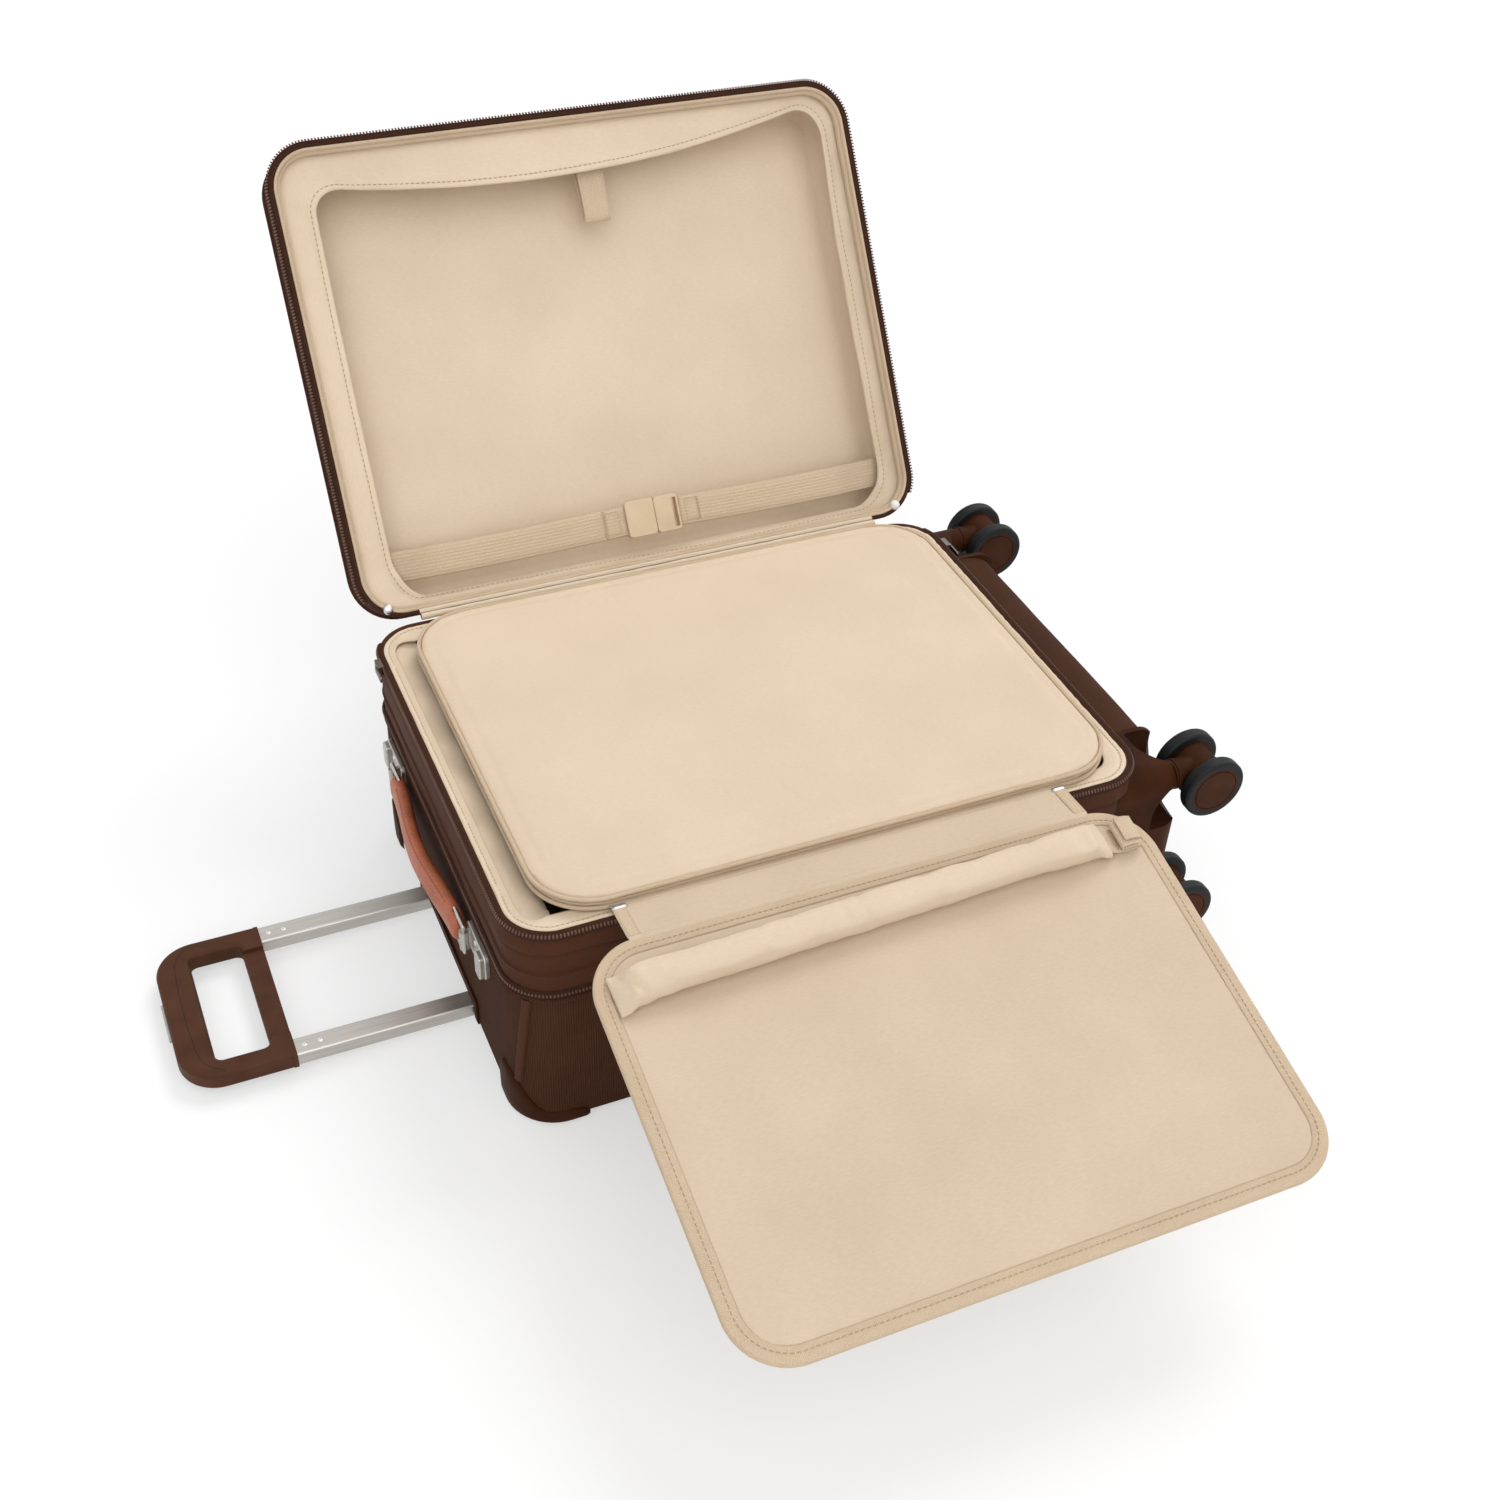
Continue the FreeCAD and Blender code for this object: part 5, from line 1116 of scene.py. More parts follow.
def make_lid_lining():
    """Lining of the lid: lightly creased walls and a broad back that hangs in soft waves."""
    inset = -LID_WALL - 0.0004
    wall = inset - 0.0016
    deep = LID_TOP - LID_WALL - 0.0019
    rounding = 0.016
    rows = raised([(0.0, 0.001), (-0.0012, 0.002)], LID_RIM, inset)
    rows += climbing_rows(LID_RIM + 0.005, deep - 0.018, 0.005, wall)
    rows += quarter_round(wall, deep, rounding, 7, first=1)
    loop = body_loop(0.005)
    grid = ring(loop, rows)
    heights = np.array(rows)[:, 1]
    share = ramp(heights, LID_RIM + 0.008, 0.02) * np.clip((deep - heights) / 0.008, 0, 1)
    creases = rumple(grid * np.array([1, 1, 0.45]), 0.017, 0.0034, 8.0) + rumple(grid, 0.05, 0.003, 9.0)
    push_out(grid, loop, np.minimum(creases - 0.0006, 0) * share)
    edge = rounding - wall
    x, y = body_grid(edge, 0.007, (0, 0.003, 0.006))
    back = points_at(x, y, deep)
    inside = ramp(edge_distance(x, y, body_box(edge), CORNER - edge), 0, 0.04)
    waves = rumple(back * np.array([0.8, 1.2, 1]), 0.13, 0.006, 3.0) + rumple(back, 0.05, 0.0012, 11.0)
    back[..., 2] += np.minimum(waves - 0.001, 0) * inside
    cloths = merged(surface(opened(grid)), surface(opened(back)))
    make_piece("lid_lining_cloth", "lid", lining, cloths, ["lid_lining"], "lining_cloth")


def make_lid_ledge():
    """Two corded ridges of lining just inside the zip, with a seam between them."""
    first, second = -0.0062, -0.0094
    rows = [(-0.0042, 0.0012), (-0.0047, 0.0004), (first, 0.0003), (first - 0.0012, 0.0014),
            (first - 0.0014, 0.0042), (second + 0.0012, 0.0040), (second, 0.0043), (second - 0.0011, 0.0058),
            (second - 0.001, 0.0096), (second - 0.0004, 0.0118)]
    grid = ring(body_loop(0.004), raised(rows, LID_RIM))
    puckers = np.clip(rumple(grid, 0.009, 0.0012, 12.0) + rumple(grid, 0.03, 0.0012, 13.0), -0.0002, 0.0016)
    grid[..., 2] += puckers * (np.arange(len(rows)) > 1)
    make_piece("lid_ledge", "lid", edge_tape, surface(opened(grid)), slot="binding")


def frame_edges(step):
    """Inner edge of the frame flap, its long upper edge sagging, and its outer edge at matching places.

    The third list says how far each place is turned into the lid.
    """
    left, right = -BODY_X + FRAME_LEFT, BODY_X - FRAME_RIGHT
    low, high = -BODY_Y + FRAME_NEAR, BODY_Y - FRAME_FAR
    inner = rounded_loop(left, right, low, high, FRAME_CORNER, step)[0]
    share = (inner[:, 0] - (left + right) / 2) / ((right - left) / 2)
    sag = 0.008 - 0.021 * (share + 1) / 2 + 0.0285 * (1 - share ** 2)
    at_top = ramp(-inner[:, 1], 0.09, -low - 0.09) ** 2
    turned_in = ramp(inner[:, 1], high - 0.035, 0.035) ** 2
    inner[:, 1] += sag * at_top + 0.012 * turned_in
    side = ramp(np.abs(share), 0.94, 0.06) * ramp(inner[:, 1], low + 0.02, 0.10)
    turned_in = np.maximum(turned_in, 0.55 * side)
    edge = LID_WALL + 0.0022
    sizes = (right - left - 2 * FRAME_CORNER, high - low - 2 * FRAME_CORNER)
    outer = rounded_loop(*body_box(edge), CORNER - edge, step, sizes=sizes)[0]
    return inner, outer, turned_in


def make_lid_frame():
    """Hemmed flap of lining round the lid's mouth, turned into the lid along the hinge and the sides."""
    inner, outer, turned_in = frame_edges(0.006)
    shares = [0.0, 0.03, 0.08, 0.18, 0.32, 0.48, 0.6, 0.68, 0.76, 0.84, 0.92, 0.98, 1.0]
    hem = 0.008
    span = np.linalg.norm(outer - inner, axis=1)

    def laid(share):
        """One line of the flap's middle surface, from its outer edge at 0 to its hem at 1."""
        flat = outer + (inner - outer) * np.reshape(share, (-1, 1))
        line = points_at(flat[:, 0], flat[:, 1], 0.0)
        share = np.broadcast_to(np.ravel(share), len(flat))
        loose = share ** 1.5 * ramp(span, 0, 0.04)
        wave = rumple(line, 0.045, 0.005, 14.0) + rumple(line, 0.12, 0.005, 15.0)
        crumple = rumple(line, 0.016, 0.0016, 34.0) * np.sin(math.pi * share) * (1 + turned_in)
        loft = np.maximum(wave * loose + crumple, -0.0006)
        line[:, 2] = FRAME_LEVEL + 0.0009 + loft + 0.018 * turned_in * share
        return line

    rows = []
    for face, shares_here in ((1, shares), (-1, shares[::-1])):
        for share in shares_here:
            line = laid(share)
            swell = np.where((1 - share) * span < hem, 0.0014, 0.0005) * (share not in (0.0, 1.0))
            line[:, 2] -= face * swell
            rows.append(line)
    grid = np.stack(rows, axis=1)
    cloth_band = surface(opened(grid), wrap=True)
    frame_flap = make_piece("lid_frame_cloth", "lid", lining, cloth_band, ["lid_frame"], "lining_cloth")
    face = grid[:, :len(shares)]
    seam = laid(np.clip(1 - 0.006 / span, 0.4, 0.95))
    seam[:, 2] -= 0.0015
    stitches = beads(opened(seam), facing(opened, (0, 0, -1)), *FRAME_STITCH)
    make_piece("lid_frame_stitches", "lid", pale_thread, stitches)


def sewn_box(name, x_span, y_span, level, count):
    """Stitches in a box on the lid's inside."""
    (x0, x1), (y0, y1) = x_span, y_span
    corners = [(x0, y0, level), (x1, y0, level), (x1, y1, level), (x0, y1, level), (x0, y0, level)]
    path = np.concatenate([np.linspace(start, end, count) for start, end in zip(corners, corners[1:])])
    stitches = beads(opened(path), facing(opened, (0, 0, -1)), *BOX_STITCH)
    make_piece(name, "lid", pale_thread, stitches)


def make_belt():
    """Belt of webbing in two halves that go under the frame flap, sewn round the buckle's bars."""
    reach = BODY_X - LID_WALL - 0.003
    clear = 0.0002
    socket_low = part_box("buckle_socket")[0].x
    tongue_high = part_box("buckle_tongue")[1].x
    across = facing(opened, (0, 1, 0))
    half = BELT_WIDTH / 2 - 0.004
    halves = (("left", -reach, socket_low - clear), ("right", tongue_high + clear, reach))
    for side, start, end in halves:
        x = np.linspace(start, end, 60)
        bow = np.sin(math.pi * (x - start) / (end - start))
        tucked = 0.012 * eased(ramp(np.abs(x), reach - 0.080, 0.042))
        line = points_at(x, BELT_Y + 0.002 * bow, BELT_LEVEL + 0.0012 * bow + tucked)
        strap = ribbon(opened(line), across, BELT_WIDTH, WEBBING)
        make_piece(f"belt_{side}", "lid", pale_webbing, strap, ["lid_belt"], "pale_webbing")
        at_buckle, inward = (end, -1) if side == "left" else (start, 1)
        double = line[np.abs(x - at_buckle) < 0.024] + np.array([0, 0, -WEBBING * 0.85])
        fold = ribbon(opened(double), across, BELT_WIDTH - 0.0006, WEBBING * 0.7)
        make_piece(f"belt_{side}_fold", "lid", pale_webbing, fold, slot="pale_webbing")
        box = sorted((at_buckle + inward * 0.007, at_buckle + inward * 0.021))
        sewn_box(f"belt_{side}_stitches", box, (BELT_Y - half, BELT_Y + half),
                 BELT_LEVEL - WEBBING * 1.25, 12)


def make_hanger_loop():
    """Strap at the top of the lid, folded back into a loop, with a keeper sewn over it."""
    low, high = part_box("hanger_loop")
    width = high.x - low.x
    centre = (low.x + high.x) / 2
    wall = -BODY_Y + LID_WALL + 0.002
    level = LID_RIM + 0.028
    keeper_y = wall + 0.026
    folded = [(0.002, 0.002), (0.020, 0.0042), (0.050, 0.0046), (0.078, 0.0044), (0.0915, 0.0028),
              (0.0948, -0.0004), (0.090, -0.0038), (0.076, -0.0046), (0.050, -0.0042), (0.020, -0.0036),
              (0.003, -0.0012)]
    over = [(-0.009, -0.0062), (0.0, -0.0064), (0.009, -0.0062)]
    line = curve_points([(centre, y, z) for y, z in raised(folded, level, wall)], 90)
    strap = ribbon(opened(line), (1, 0, 0), width, WEBBING)
    make_piece("hanger_strap", "lid", pale_webbing, strap, ["hanger_loop"], "pale_webbing")
    line = curve_points([(centre, y, z) for y, z in raised(over, level, keeper_y)], 12)
    keeper = ribbon(opened(line), (1, 0, 0), width + 0.0012, WEBBING)
    make_piece("hanger_keeper", "lid", pale_webbing, keeper, slot="pale_webbing")
    half, deep = width / 2 - 0.003, 0.007
    sewn_box("hanger_stitches", (centre - half, centre + half), (keeper_y - deep, keeper_y + deep),
             level - 0.0073, 10)


def make_front_pockets():
    """Two padded pockets on the lid's front, each with a corded edge, and their zips."""
    half_strip = POCKET_ZIP_STRIP / 2
    zip_low, zip_high = -BODY_X + POCKET_END_GAP + half_strip, POCKET_ZIP_X
    half = BODY_Y - POCKET_SIDE_GAP
    spans = (("upper", zip_low + half_strip, zip_high - half_strip),
             ("lower", zip_high + half_strip, BODY_X - POCKET_END_GAP))
    near = (0, 0.0008, 0.002, 0.004, 0.007, 0.0095, 0.011, 0.0125, 0.016)
    back = LID_TOP + 0.004
    for name, start, end in spans:
        box = (start, end, -half, half)

        def from_edge(places):
            return edge_distance(places[..., 0], places[..., 1], box, POCKET_CORNER)

        def sewn(places):
            return (from_edge(places) < 0.013) | (places[:, 2] < back)

        x, y = rounded_grid(*box, POCKET_CORNER, 0.008, near)
        spot = points_at(x, y, 0.0)
        distance = from_edge(spot)
        top = LID_TOP + POCKET_RISE - rounded_off(distance, 0.009) - SWELL * ramp(distance, 0.013, 0.03)
        top += np.minimum(rumple(spot, 0.08, 0.0022, 16.0) - 0.0004, 0.0) * ramp(distance, 0, 0.03)
        bottom = np.full_like(x, LID_TOP + 0.0002)
        points, faces, uvs = puffed(pad(x, y, top, bottom), 0.005, SWELL * 1.5, 0.012, sewn)
        points[:, 2] += groove(from_edge(points), 0.012, 0.0030, 0.0012) * (points[:, 2] > back)
        padding = (opened(points), faces, uvs[:, ::-1])
        pocket = make_piece(f"pocket_{name}", "lid", twill, padding, ["front_pockets"], "twill")
        loop = rounded_loop(*box, POCKET_CORNER, 0.006)
        cord = ring(loop, round_profile(0.0016, 8, -0.0004, LID_TOP + 0.0019))
        make_piece(f"pocket_{name}_piping", "lid", satin_band, surface(opened(cord)), slot="twill")
    y = np.linspace(-half, half, 80)
    rows = ((-0.006, 0.0007), (-0.0045, 0.0011), (-0.002, 0.0013), (0.002, 0.0013), (0.0045, 0.0011),
            (0.006, 0.0007))
    for number, place in ((1, zip_high), (2, zip_low)):
        tape = np.stack([points_at(place + across, y, LID_TOP + up) for across, up in rows], axis=1)
        make_piece(f"pocket_zip_{number}_tape", "lid", zip_cloth, surface(opened(tape)), ["pocket_zips"],
                   "zip_tape")
        line = points_at(place, y, LID_TOP + 0.0017)
        teeth = beads(opened(line), facing(opened, (0, 0, 1)), *POCKET_TOOTH)
        make_piece(f"pocket_zip_{number}_teeth", "lid", zip_teeth, teeth)


HINGE_INSIDE_FROM = math.radians(82)
HINGE_INSIDE_TO = math.radians(262)
HINGE_COVER_FROM = math.radians(74)
HINGE_COVER_TO = math.radians(105)
HINGE_COVER_CLEAR = 0.00015
HINGE_COVER_THICK = 0.0002


def make_hinge_cloths():
    """Lined strip that the lid swings on, the lid's cover over it, and the middle panel's tape."""
    low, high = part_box("hinge_cord")
    radius = (high.z - low.z) / 2
    x = np.linspace(low.x, high.x, 120)
    centre = np.array([HINGE.y, HINGE.z])
    outside_from = HINGE_INSIDE_TO - 2 * math.pi
    halves = (("hinge_strip", twill, "twill", outside_from, HINGE_INSIDE_FROM, ["hinge_cord"]),
              ("hinge_strip_lining", lining, "lining_cloth", HINGE_INSIDE_FROM, HINGE_INSIDE_TO, ()))
    for name, material, slot, first, last, stands_for in halves:
        grid = extruded(x, centre + radius * arc(first, last, 10))
        shrink = np.clip(rumple(grid, 0.012, 0.25, 17.0), -0.2, 0.0)
        grid[..., 1:] += (centre - grid[..., 1:]) * -shrink[..., None]
        make_piece(name, "tub", material, surface(grid, wrap=True), stands_for, slot)
    over_rim = [(-0.0052, 0.0012), (-0.0046, -0.0001), (-0.0034, -0.0005), (-0.0018, -0.0006),
                (-0.0004, -0.0006), (-0.0004, -0.0001), (-0.0018, 0.0001), (-0.0034, 0.0002),
                (-0.0042, 0.0004)]
    grid = extruded(x, raised(over_rim, LID_RIM, BODY_Y))
    make_piece("lid_hinge_lining", "lid", lining, surface(opened(grid), wrap=True), slot="lining_cloth")
    inner = radius + HINGE_COVER_CLEAR
    curve = arc(HINGE_COVER_FROM, HINGE_COVER_TO, 6)
    sewn_end = raised([(-0.0008, 0.0012), (-0.0002, 0.0024)], LID_RIM, BODY_Y)
    outer_curve = centre + (inner + HINGE_COVER_THICK) * curve[::-1]
    grid = extruded(x, np.concatenate([centre + inner * curve, sewn_end, outer_curve]))
    make_piece("lid_hinge_cover", "lid", twill, surface(opened(grid), wrap=True), slot="twill")
    low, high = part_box("hinge_tape")
    line = points_at(np.linspace(low.x, high.x, 160), (low.y + high.y) / 2, (low.z + high.z) / 2)
    line[:, 2] += rumple(line, 0.012, 0.0005, 18.0)
    tape = ribbon(line, (0, 1, 0), high.y - low.y, high.z - low.z)
    make_piece("hinge_tape_cloth", "tub", edge_tape, tape, ["hinge_tape"], "lining_cloth")


# Garment folder

PAD_NEAR = (0, 0.0005, 0.0013, 0.0025, 0.004, 0.006, 0.008, 0.0095, 0.0105, 0.0115, 0.0125, 0.014, 0.017,
            0.021)


def make_middle_panel():
    """Padded panel with a crowned top, a sewn channel inside its edge and two piped edges."""
    box = (PANEL_LOW.x, PANEL_HIGH.x, PANEL_LOW.y, PANEL_HIGH.y)
    edge_top = PANEL_HIGH.z - PANEL_CROWN
    half_up = (PANEL_LOW.z + edge_top) / 2
    middle = (box[0] + box[1]) / 2
    half = (box[1] - box[0]) / 2

    def from_edge(places):
        return edge_distance(places[..., 0], places[..., 1], box, PANEL_CORNER)

    def crowned(places):
        along = 1 - ((places[..., 0] - middle) / half) ** 2
        return PANEL_CROWN * along * (1 - (places[..., 1] / box[3]) ** 2)

    def sewn(places):
        return (from_edge(places) < 0.013) | (places[:, 2] < PANEL_LOW.z + 0.006)

    x, y = rounded_grid(*box, PANEL_CORNER, 0.008, PAD_NEAR)
    spot = points_at(x, y, 0.0)
    distance = from_edge(spot)
    soft = rumple(spot, 0.11, 0.0016, 19.0) + rumple(spot, 0.035, 0.0005, 20.0)
    sunk = SWELL * ramp(distance, 0.014, 0.03)
    top = edge_top + crowned(spot) - rounded_off(distance, 0.0055) - sunk
    top += np.minimum(soft, 0.0004) * ramp(distance, 0.012, 0.04)
    bottom = PANEL_LOW.z + rounded_off(distance, 0.003)
    points, faces, uvs = puffed(pad(x, y, top, bottom), 0.005, SWELL, 0.012, sewn)
    inside = from_edge(points)
    channel = groove(inside, 0.012, 0.0032, 0.0010)
    channel += rumple(points, 0.014, 0.0006, 21.0) * np.exp(-((inside - 0.012) / 0.007) ** 2)
    points[:, 2] += channel * (points[:, 2] > half_up)
    padding = (points, faces, uvs)
    panel = make_piece("middle_pad", "middle_panel", panel_cloth, padding, ["middle_panel"], "panel_cloth")
    loop = rounded_loop(*box, PANEL_CORNER, 0.005, 16)
    rings = []
    for level in (PANEL_LOW.z + 0.0035, edge_top - 0.0035):
        grid = ring(loop, round_profile(0.0019, 10, 0.0009, level))
        grid[..., 2] += rumple(grid, 0.03, 0.0005, 22.0)
        rings.append(surface(grid))
    rings.append(surface(ring(loop, round_profile(0.0010, 8, 0.0002, half_up))))
    make_piece("panel_piping", "middle_panel", edge_tape, merged(*rings), ["middle_piping"], "binding")


def make_strip_tab(name, centre):
    """Narrow tab of webbing on the fold strip, sewn along both edges, with a metal clip at its end."""
    profile = [(y, 0.0009) for y in (-0.0008, -0.010, -0.020, -0.030, -0.0385)]
    line = curve_points([(centre, y, z) for y, z in profile], 24)
    tab = ribbon(on_strip(line), (1, 0, 0), 0.0105, 0.0005)
    make_piece(f"tab_{name}", "fold_strip", pale_webbing, tab, slot="pale_webbing")
    hoop = [(-0.0008, 0.0010), (-0.0014, 0.0015), (-0.0030, 0.0017), (-0.0046, 0.0015), (-0.0052, 0.0010)]
    line = curve_points([(centre, y, z) for y, z in hoop], 16)
    clip = [ribbon(on_strip(line), (1, 0, 0), 0.0118, 0.0006)]
    bar_x = centre + np.array([-0.0066, 0.0, 0.0066])
    for y in (-0.0012, -0.0048):
        clip.append(tube(on_strip(points_at(bar_x, y, 0.0012)), 0.0006, 8))
    make_piece(f"tab_clip_{name}", "fold_strip", bright_metal, merged(*clip), slot="zip_metal")
    stitches = []
    for edge in (-0.0040, 0.0040):
        row = curve_points([(centre + edge, y, z + 0.0002) for y, z in profile[1:]], 20)
        stitches.append(beads(on_strip(row), facing(on_strip, (0, 0, 1)), *TAB_STITCH))
    make_piece(f"tab_stitches_{name}", "fold_strip", pale_thread, merged(*stitches))


def make_fold_strip():
    """Strip of cloth between the panel and the flap, with a narrow tab at each end."""
    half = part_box("fold_strip")[1].x
    x = np.linspace(-half, half, 90)
    along = np.linspace(0.0006, STRIP_LENGTH - 0.0012, 12)
    grid = extruded(x, [(-place, 0.0) for place in along])
    waves = rumple(grid * np.array([1, 0.3, 0]), 0.035, 0.0012, 23.0)
    grid[..., 2] = np.clip(waves * np.sin(math.pi * along / STRIP_LENGTH), -0.0005, 0.0003)
    half_thick = np.array([0, 0, 0.0007])
    cloth_band = surface(on_strip(doubled(grid + half_thick, grid - half_thick)), wrap=True)
    strip = make_piece("fold_cloth", "fold_strip", flap_cloth, cloth_band, ["fold_strip"], "flap_cloth")
    for name, side in ENDS:
        make_strip_tab(name, side * (half - 0.006))


def make_flap():
    """Outer flap of stiffened cloth, bound with a wide tape that is sewn through."""
    inner = BINDING - 0.0004
    box = (-FLAP_X + inner, FLAP_X - inner, -FLAP_REACH + inner, -inner)
    corner = FLAP_CORNER - inner
    x, y = rounded_grid(*box, corner, 0.008, (0, 0.002, 0.005, 0.010))
    spot = points_at(x, y, 0.0)
    soft = rumple(spot * np.array([1, 0.7, 1]), 0.12, 0.0026, 24.0) + rumple(spot, 0.03, 0.0004, 25.0)
    wave = soft * ramp(edge_distance(x, y, box, corner), 0, 0.05)
    top = np.minimum(wave, 0.0012)
    bottom = -FLAP_THICKNESS + np.maximum(wave, -0.0012)
    points, faces, uvs = pad(x, y, top, bottom)
    padding = (sloped(points), faces, uvs)
    panel = make_piece("flap_cloth_panel", "flap", flap_cloth, padding, ["flap_panel"], "flap_cloth")
    loop = rounded_loop(-FLAP_X, FLAP_X, -FLAP_REACH, 0, FLAP_CORNER, 0.005, 18)
    high = 0.0007
    low = -FLAP_THICKNESS - high
    upper_face = [(-BINDING, -0.0012), (-BINDING + 0.0003, 0.0), (-BINDING + 0.0012, 0.0003),
                  (-0.008, -0.0001), (-0.003, 0.0), (-0.0010, -0.0006), (-0.0002, -0.0018)]
    lower_face = [(-0.0002, 0.0018), (-0.0010, 0.0006), (-0.003, 0.0), (-0.008, -0.0001),
                  (-BINDING + 0.0008, 0.0), (-BINDING, 0.0006)]
    rows = raised(upper_face, high) + [(-0.0001, -FLAP_THICKNESS / 2)] + raised(lower_face, low)
    grid = ring(loop, rows)
    grid[..., 2] += rumple(grid, 0.011, 0.0003, 26.0)
    make_piece("flap_tape", "flap", edge_tape, surface(sloped(grid)), ["flap_binding"], "binding")
    for name, level, face in (("upper", high + 0.0002, 1), ("lower", low - 0.0002, -1)):
        seam = ring(loop, [(-BINDING * 0.62, level)])[:, 0]
        stitches = beads(sloped(seam), facing(sloped, (0, 0, face)), *FLAP_STITCH)
        make_piece(f"flap_stitches_{name}", "flap", pale_thread, stitches)


def make_folder_hinges():
    """Cloth that bridges the folder's two folds."""
    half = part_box("fold_strip")[1].x - 0.0004
    x = np.linspace(-half, half, 60)
    reach = 0.005
    places = np.linspace(-1, 1, 13)
    folds = (("panel_hinge_cloth", "middle_panel", "fold_strip", STRIP_HINGE, 0.0, -STRIP_RISE,
              ("middle_panel", "fold_strip")),
             ("flap_hinge_cloth", "fold_strip", "flap", FLAP_HINGE, -STRIP_RISE, FLAP_SLOPE,
              ("fold_strip", "flap_panel")))
    for name, first, second, hinge, before, after, pair in folds:
        slopes = np.where(places < 0, before, after)
        across = -reach * places * np.cos(slopes)
        up = -reach * places * np.sin(slopes) + 0.0009 * (1 - places ** 2)
        grid = extruded(x, np.stack([hinge.y + across, hinge.z + up], -1))
        wrapped = doubled(grid, grid - np.array([0, 0, 0.0011]))
        cloth_bridge = make_piece(name, None, flap_cloth, surface(wrapped, wrap=True), ride=False)
        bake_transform(cloth_bridge)


def roller_place(points):
    """Points drawn along the roller bar's own line, placed on the flap."""
    points = np.asarray(points, float)
    placed = points.copy()
    along = points[..., 0] - STRAP_X
    placed[..., 0] = STRAP_X + along * math.cos(ROLLER_SKEW) - points[..., 1] * math.sin(ROLLER_SKEW)
    placed[..., 1] = along * math.sin(ROLLER_SKEW) + points[..., 1] * math.cos(ROLLER_SKEW) - ROLLER_V
    return sloped(placed)


def creased_roll(points):
    """Shallow folds all over the roller bar, a deep crease and a facet at its left end, in place."""
    folds = rumple(points * np.array([0.35, 1, 1]), 0.014, 0.0016, 27.0) + rumple(points, 0.07, 0.0012, 28.0)
    gap = np.minimum(points[:, 0] - ROLLER_LEFT, ROLLER_RIGHT - points[:, 0])
    inward = points_at(0.0, -points[:, 1], ROLLER_HEIGHT * 0.4 - points[:, 2])
    inward /= np.maximum(np.linalg.norm(inward, axis=1, keepdims=True), 1e-6)
    depth = np.maximum(-folds * (0.45 + np.exp(-gap / 0.03)), -0.0006) * (points[:, 2] > 0.002)
    points += inward * depth[:, None]
    from_left = points[:, 0] - ROLLER_LEFT
    lifted = (points[:, 2] > 0.002) * ramp(points[:, 2], 0, 0.012)
    near_left = np.clip(1 - from_left / 0.034, 0, 1)
    crease = (from_left - 0.021) / 0.0045 + (points[:, 1] + 0.010) / 0.009
    points[:, 2] -= 0.0055 * np.exp(-crease ** 2) * lifted * np.clip(near_left * 2, 0, 1)
    facet = np.clip(0.016 - from_left - 0.3 * points[:, 1], 0, 0.016)
    points[:, 2] -= 0.35 * facet * lifted


def make_roller_bar():
    """Padded roll, blown up by simulation, pressed flat and folded to a point at its left end."""
    x = np.concatenate([np.linspace(ROLLER_LEFT + 0.0005, ROLLER_LEFT + 0.03, 14),
                        np.linspace(ROLLER_LEFT + 0.034, ROLLER_RIGHT - 0.034, 70),
                        np.linspace(ROLLER_RIGHT - 0.03, ROLLER_RIGHT - 0.0005, 14)])
    full = eased(ramp(np.minimum(x - ROLLER_LEFT, ROLLER_RIGHT - x), 0, 0.020))[:, None]
    height = 0.011 + (ROLLER_HEIGHT - 0.0125 - SWELL) * full
    width = ROLLER_WIDTH - 0.001 - (0.004 + SWELL) * full
    cosine, sine = squarish(turns(36), 0.86)
    grid = points_at(x[:, None], width / 2 * cosine, 0.0004 + height / 2 * (1 + sine))

    def sewn(places):
        from_end = np.minimum(places[:, 0] - ROLLER_LEFT, ROLLER_RIGHT - places[:, 0])
        return (places[:, 2] < 0.003) | (from_end < 0.008)

    points, faces, uvs = puffed(capped(grid), 0.0042, SWELL, 0.035, sewn)
    creased_roll(points)
    roll = (roller_place(points), faces, uvs)
    bar = make_piece("roller_pad", "flap", panel_cloth, roll, ["roller_bar"], "panel_cloth")
    line = points_at(np.linspace(ROLLER_LEFT + 0.012, ROLLER_RIGHT - 0.012, 80), ROLLER_WIDTH * 0.32, 0.0034)
    make_piece("roller_seam", "flap", pale_thread, tube(roller_place(line), 0.0006, 6))


def make_bar_strap():
    """Webbing from the roller bar's end, folded back and forth and sewn down at the flap's edge."""
    low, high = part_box("bar_strap")
    width = 0.026
    down = facing(sloped, (0, -1, 0))
    centre = -ROLLER_V - 0.001
    left, right = low.x + 0.002, high.x - 0.001
    folds = [(left - 0.010, 0.0085), (left - 0.003, 0.0046), (left + 0.005, 0.0026), (right - 0.006, 0.0022),
             (right - 0.0008, 0.0034), (right, 0.0050), (right - 0.0012, 0.0064), (right - 0.006, 0.0070),
             (left + 0.0065, 0.0066), (left + 0.0030, 0.0078), (left + 0.0024, 0.0100),
             (left + 0.0040, 0.0118), (left + 0.0090, 0.0124), (right - 0.0060, 0.0116),
             (right - 0.0020, 0.0106)]
    tail = [(left + 0.0050, 0.0150), (left + 0.0110, 0.0158), (right - 0.0065, 0.0148),
            (right - 0.0016, 0.0128)]
    line = curve_points([(x, centre, height) for x, height in folds], 120)
    strap = ribbon(sloped(line), down, width, WEBBING)
    make_piece("bar_strap_folds", "flap", pale_webbing, strap, ["bar_strap"], "pale_webbing")
    line = curve_points([(x, centre + 0.002, height) for x, height in tail], 40)
    strap = ribbon(sloped(line), down, width - 0.003, WEBBING)
    make_piece("bar_strap_tail", "flap", pale_webbing, strap, slot="pale_webbing")


# Carry handles

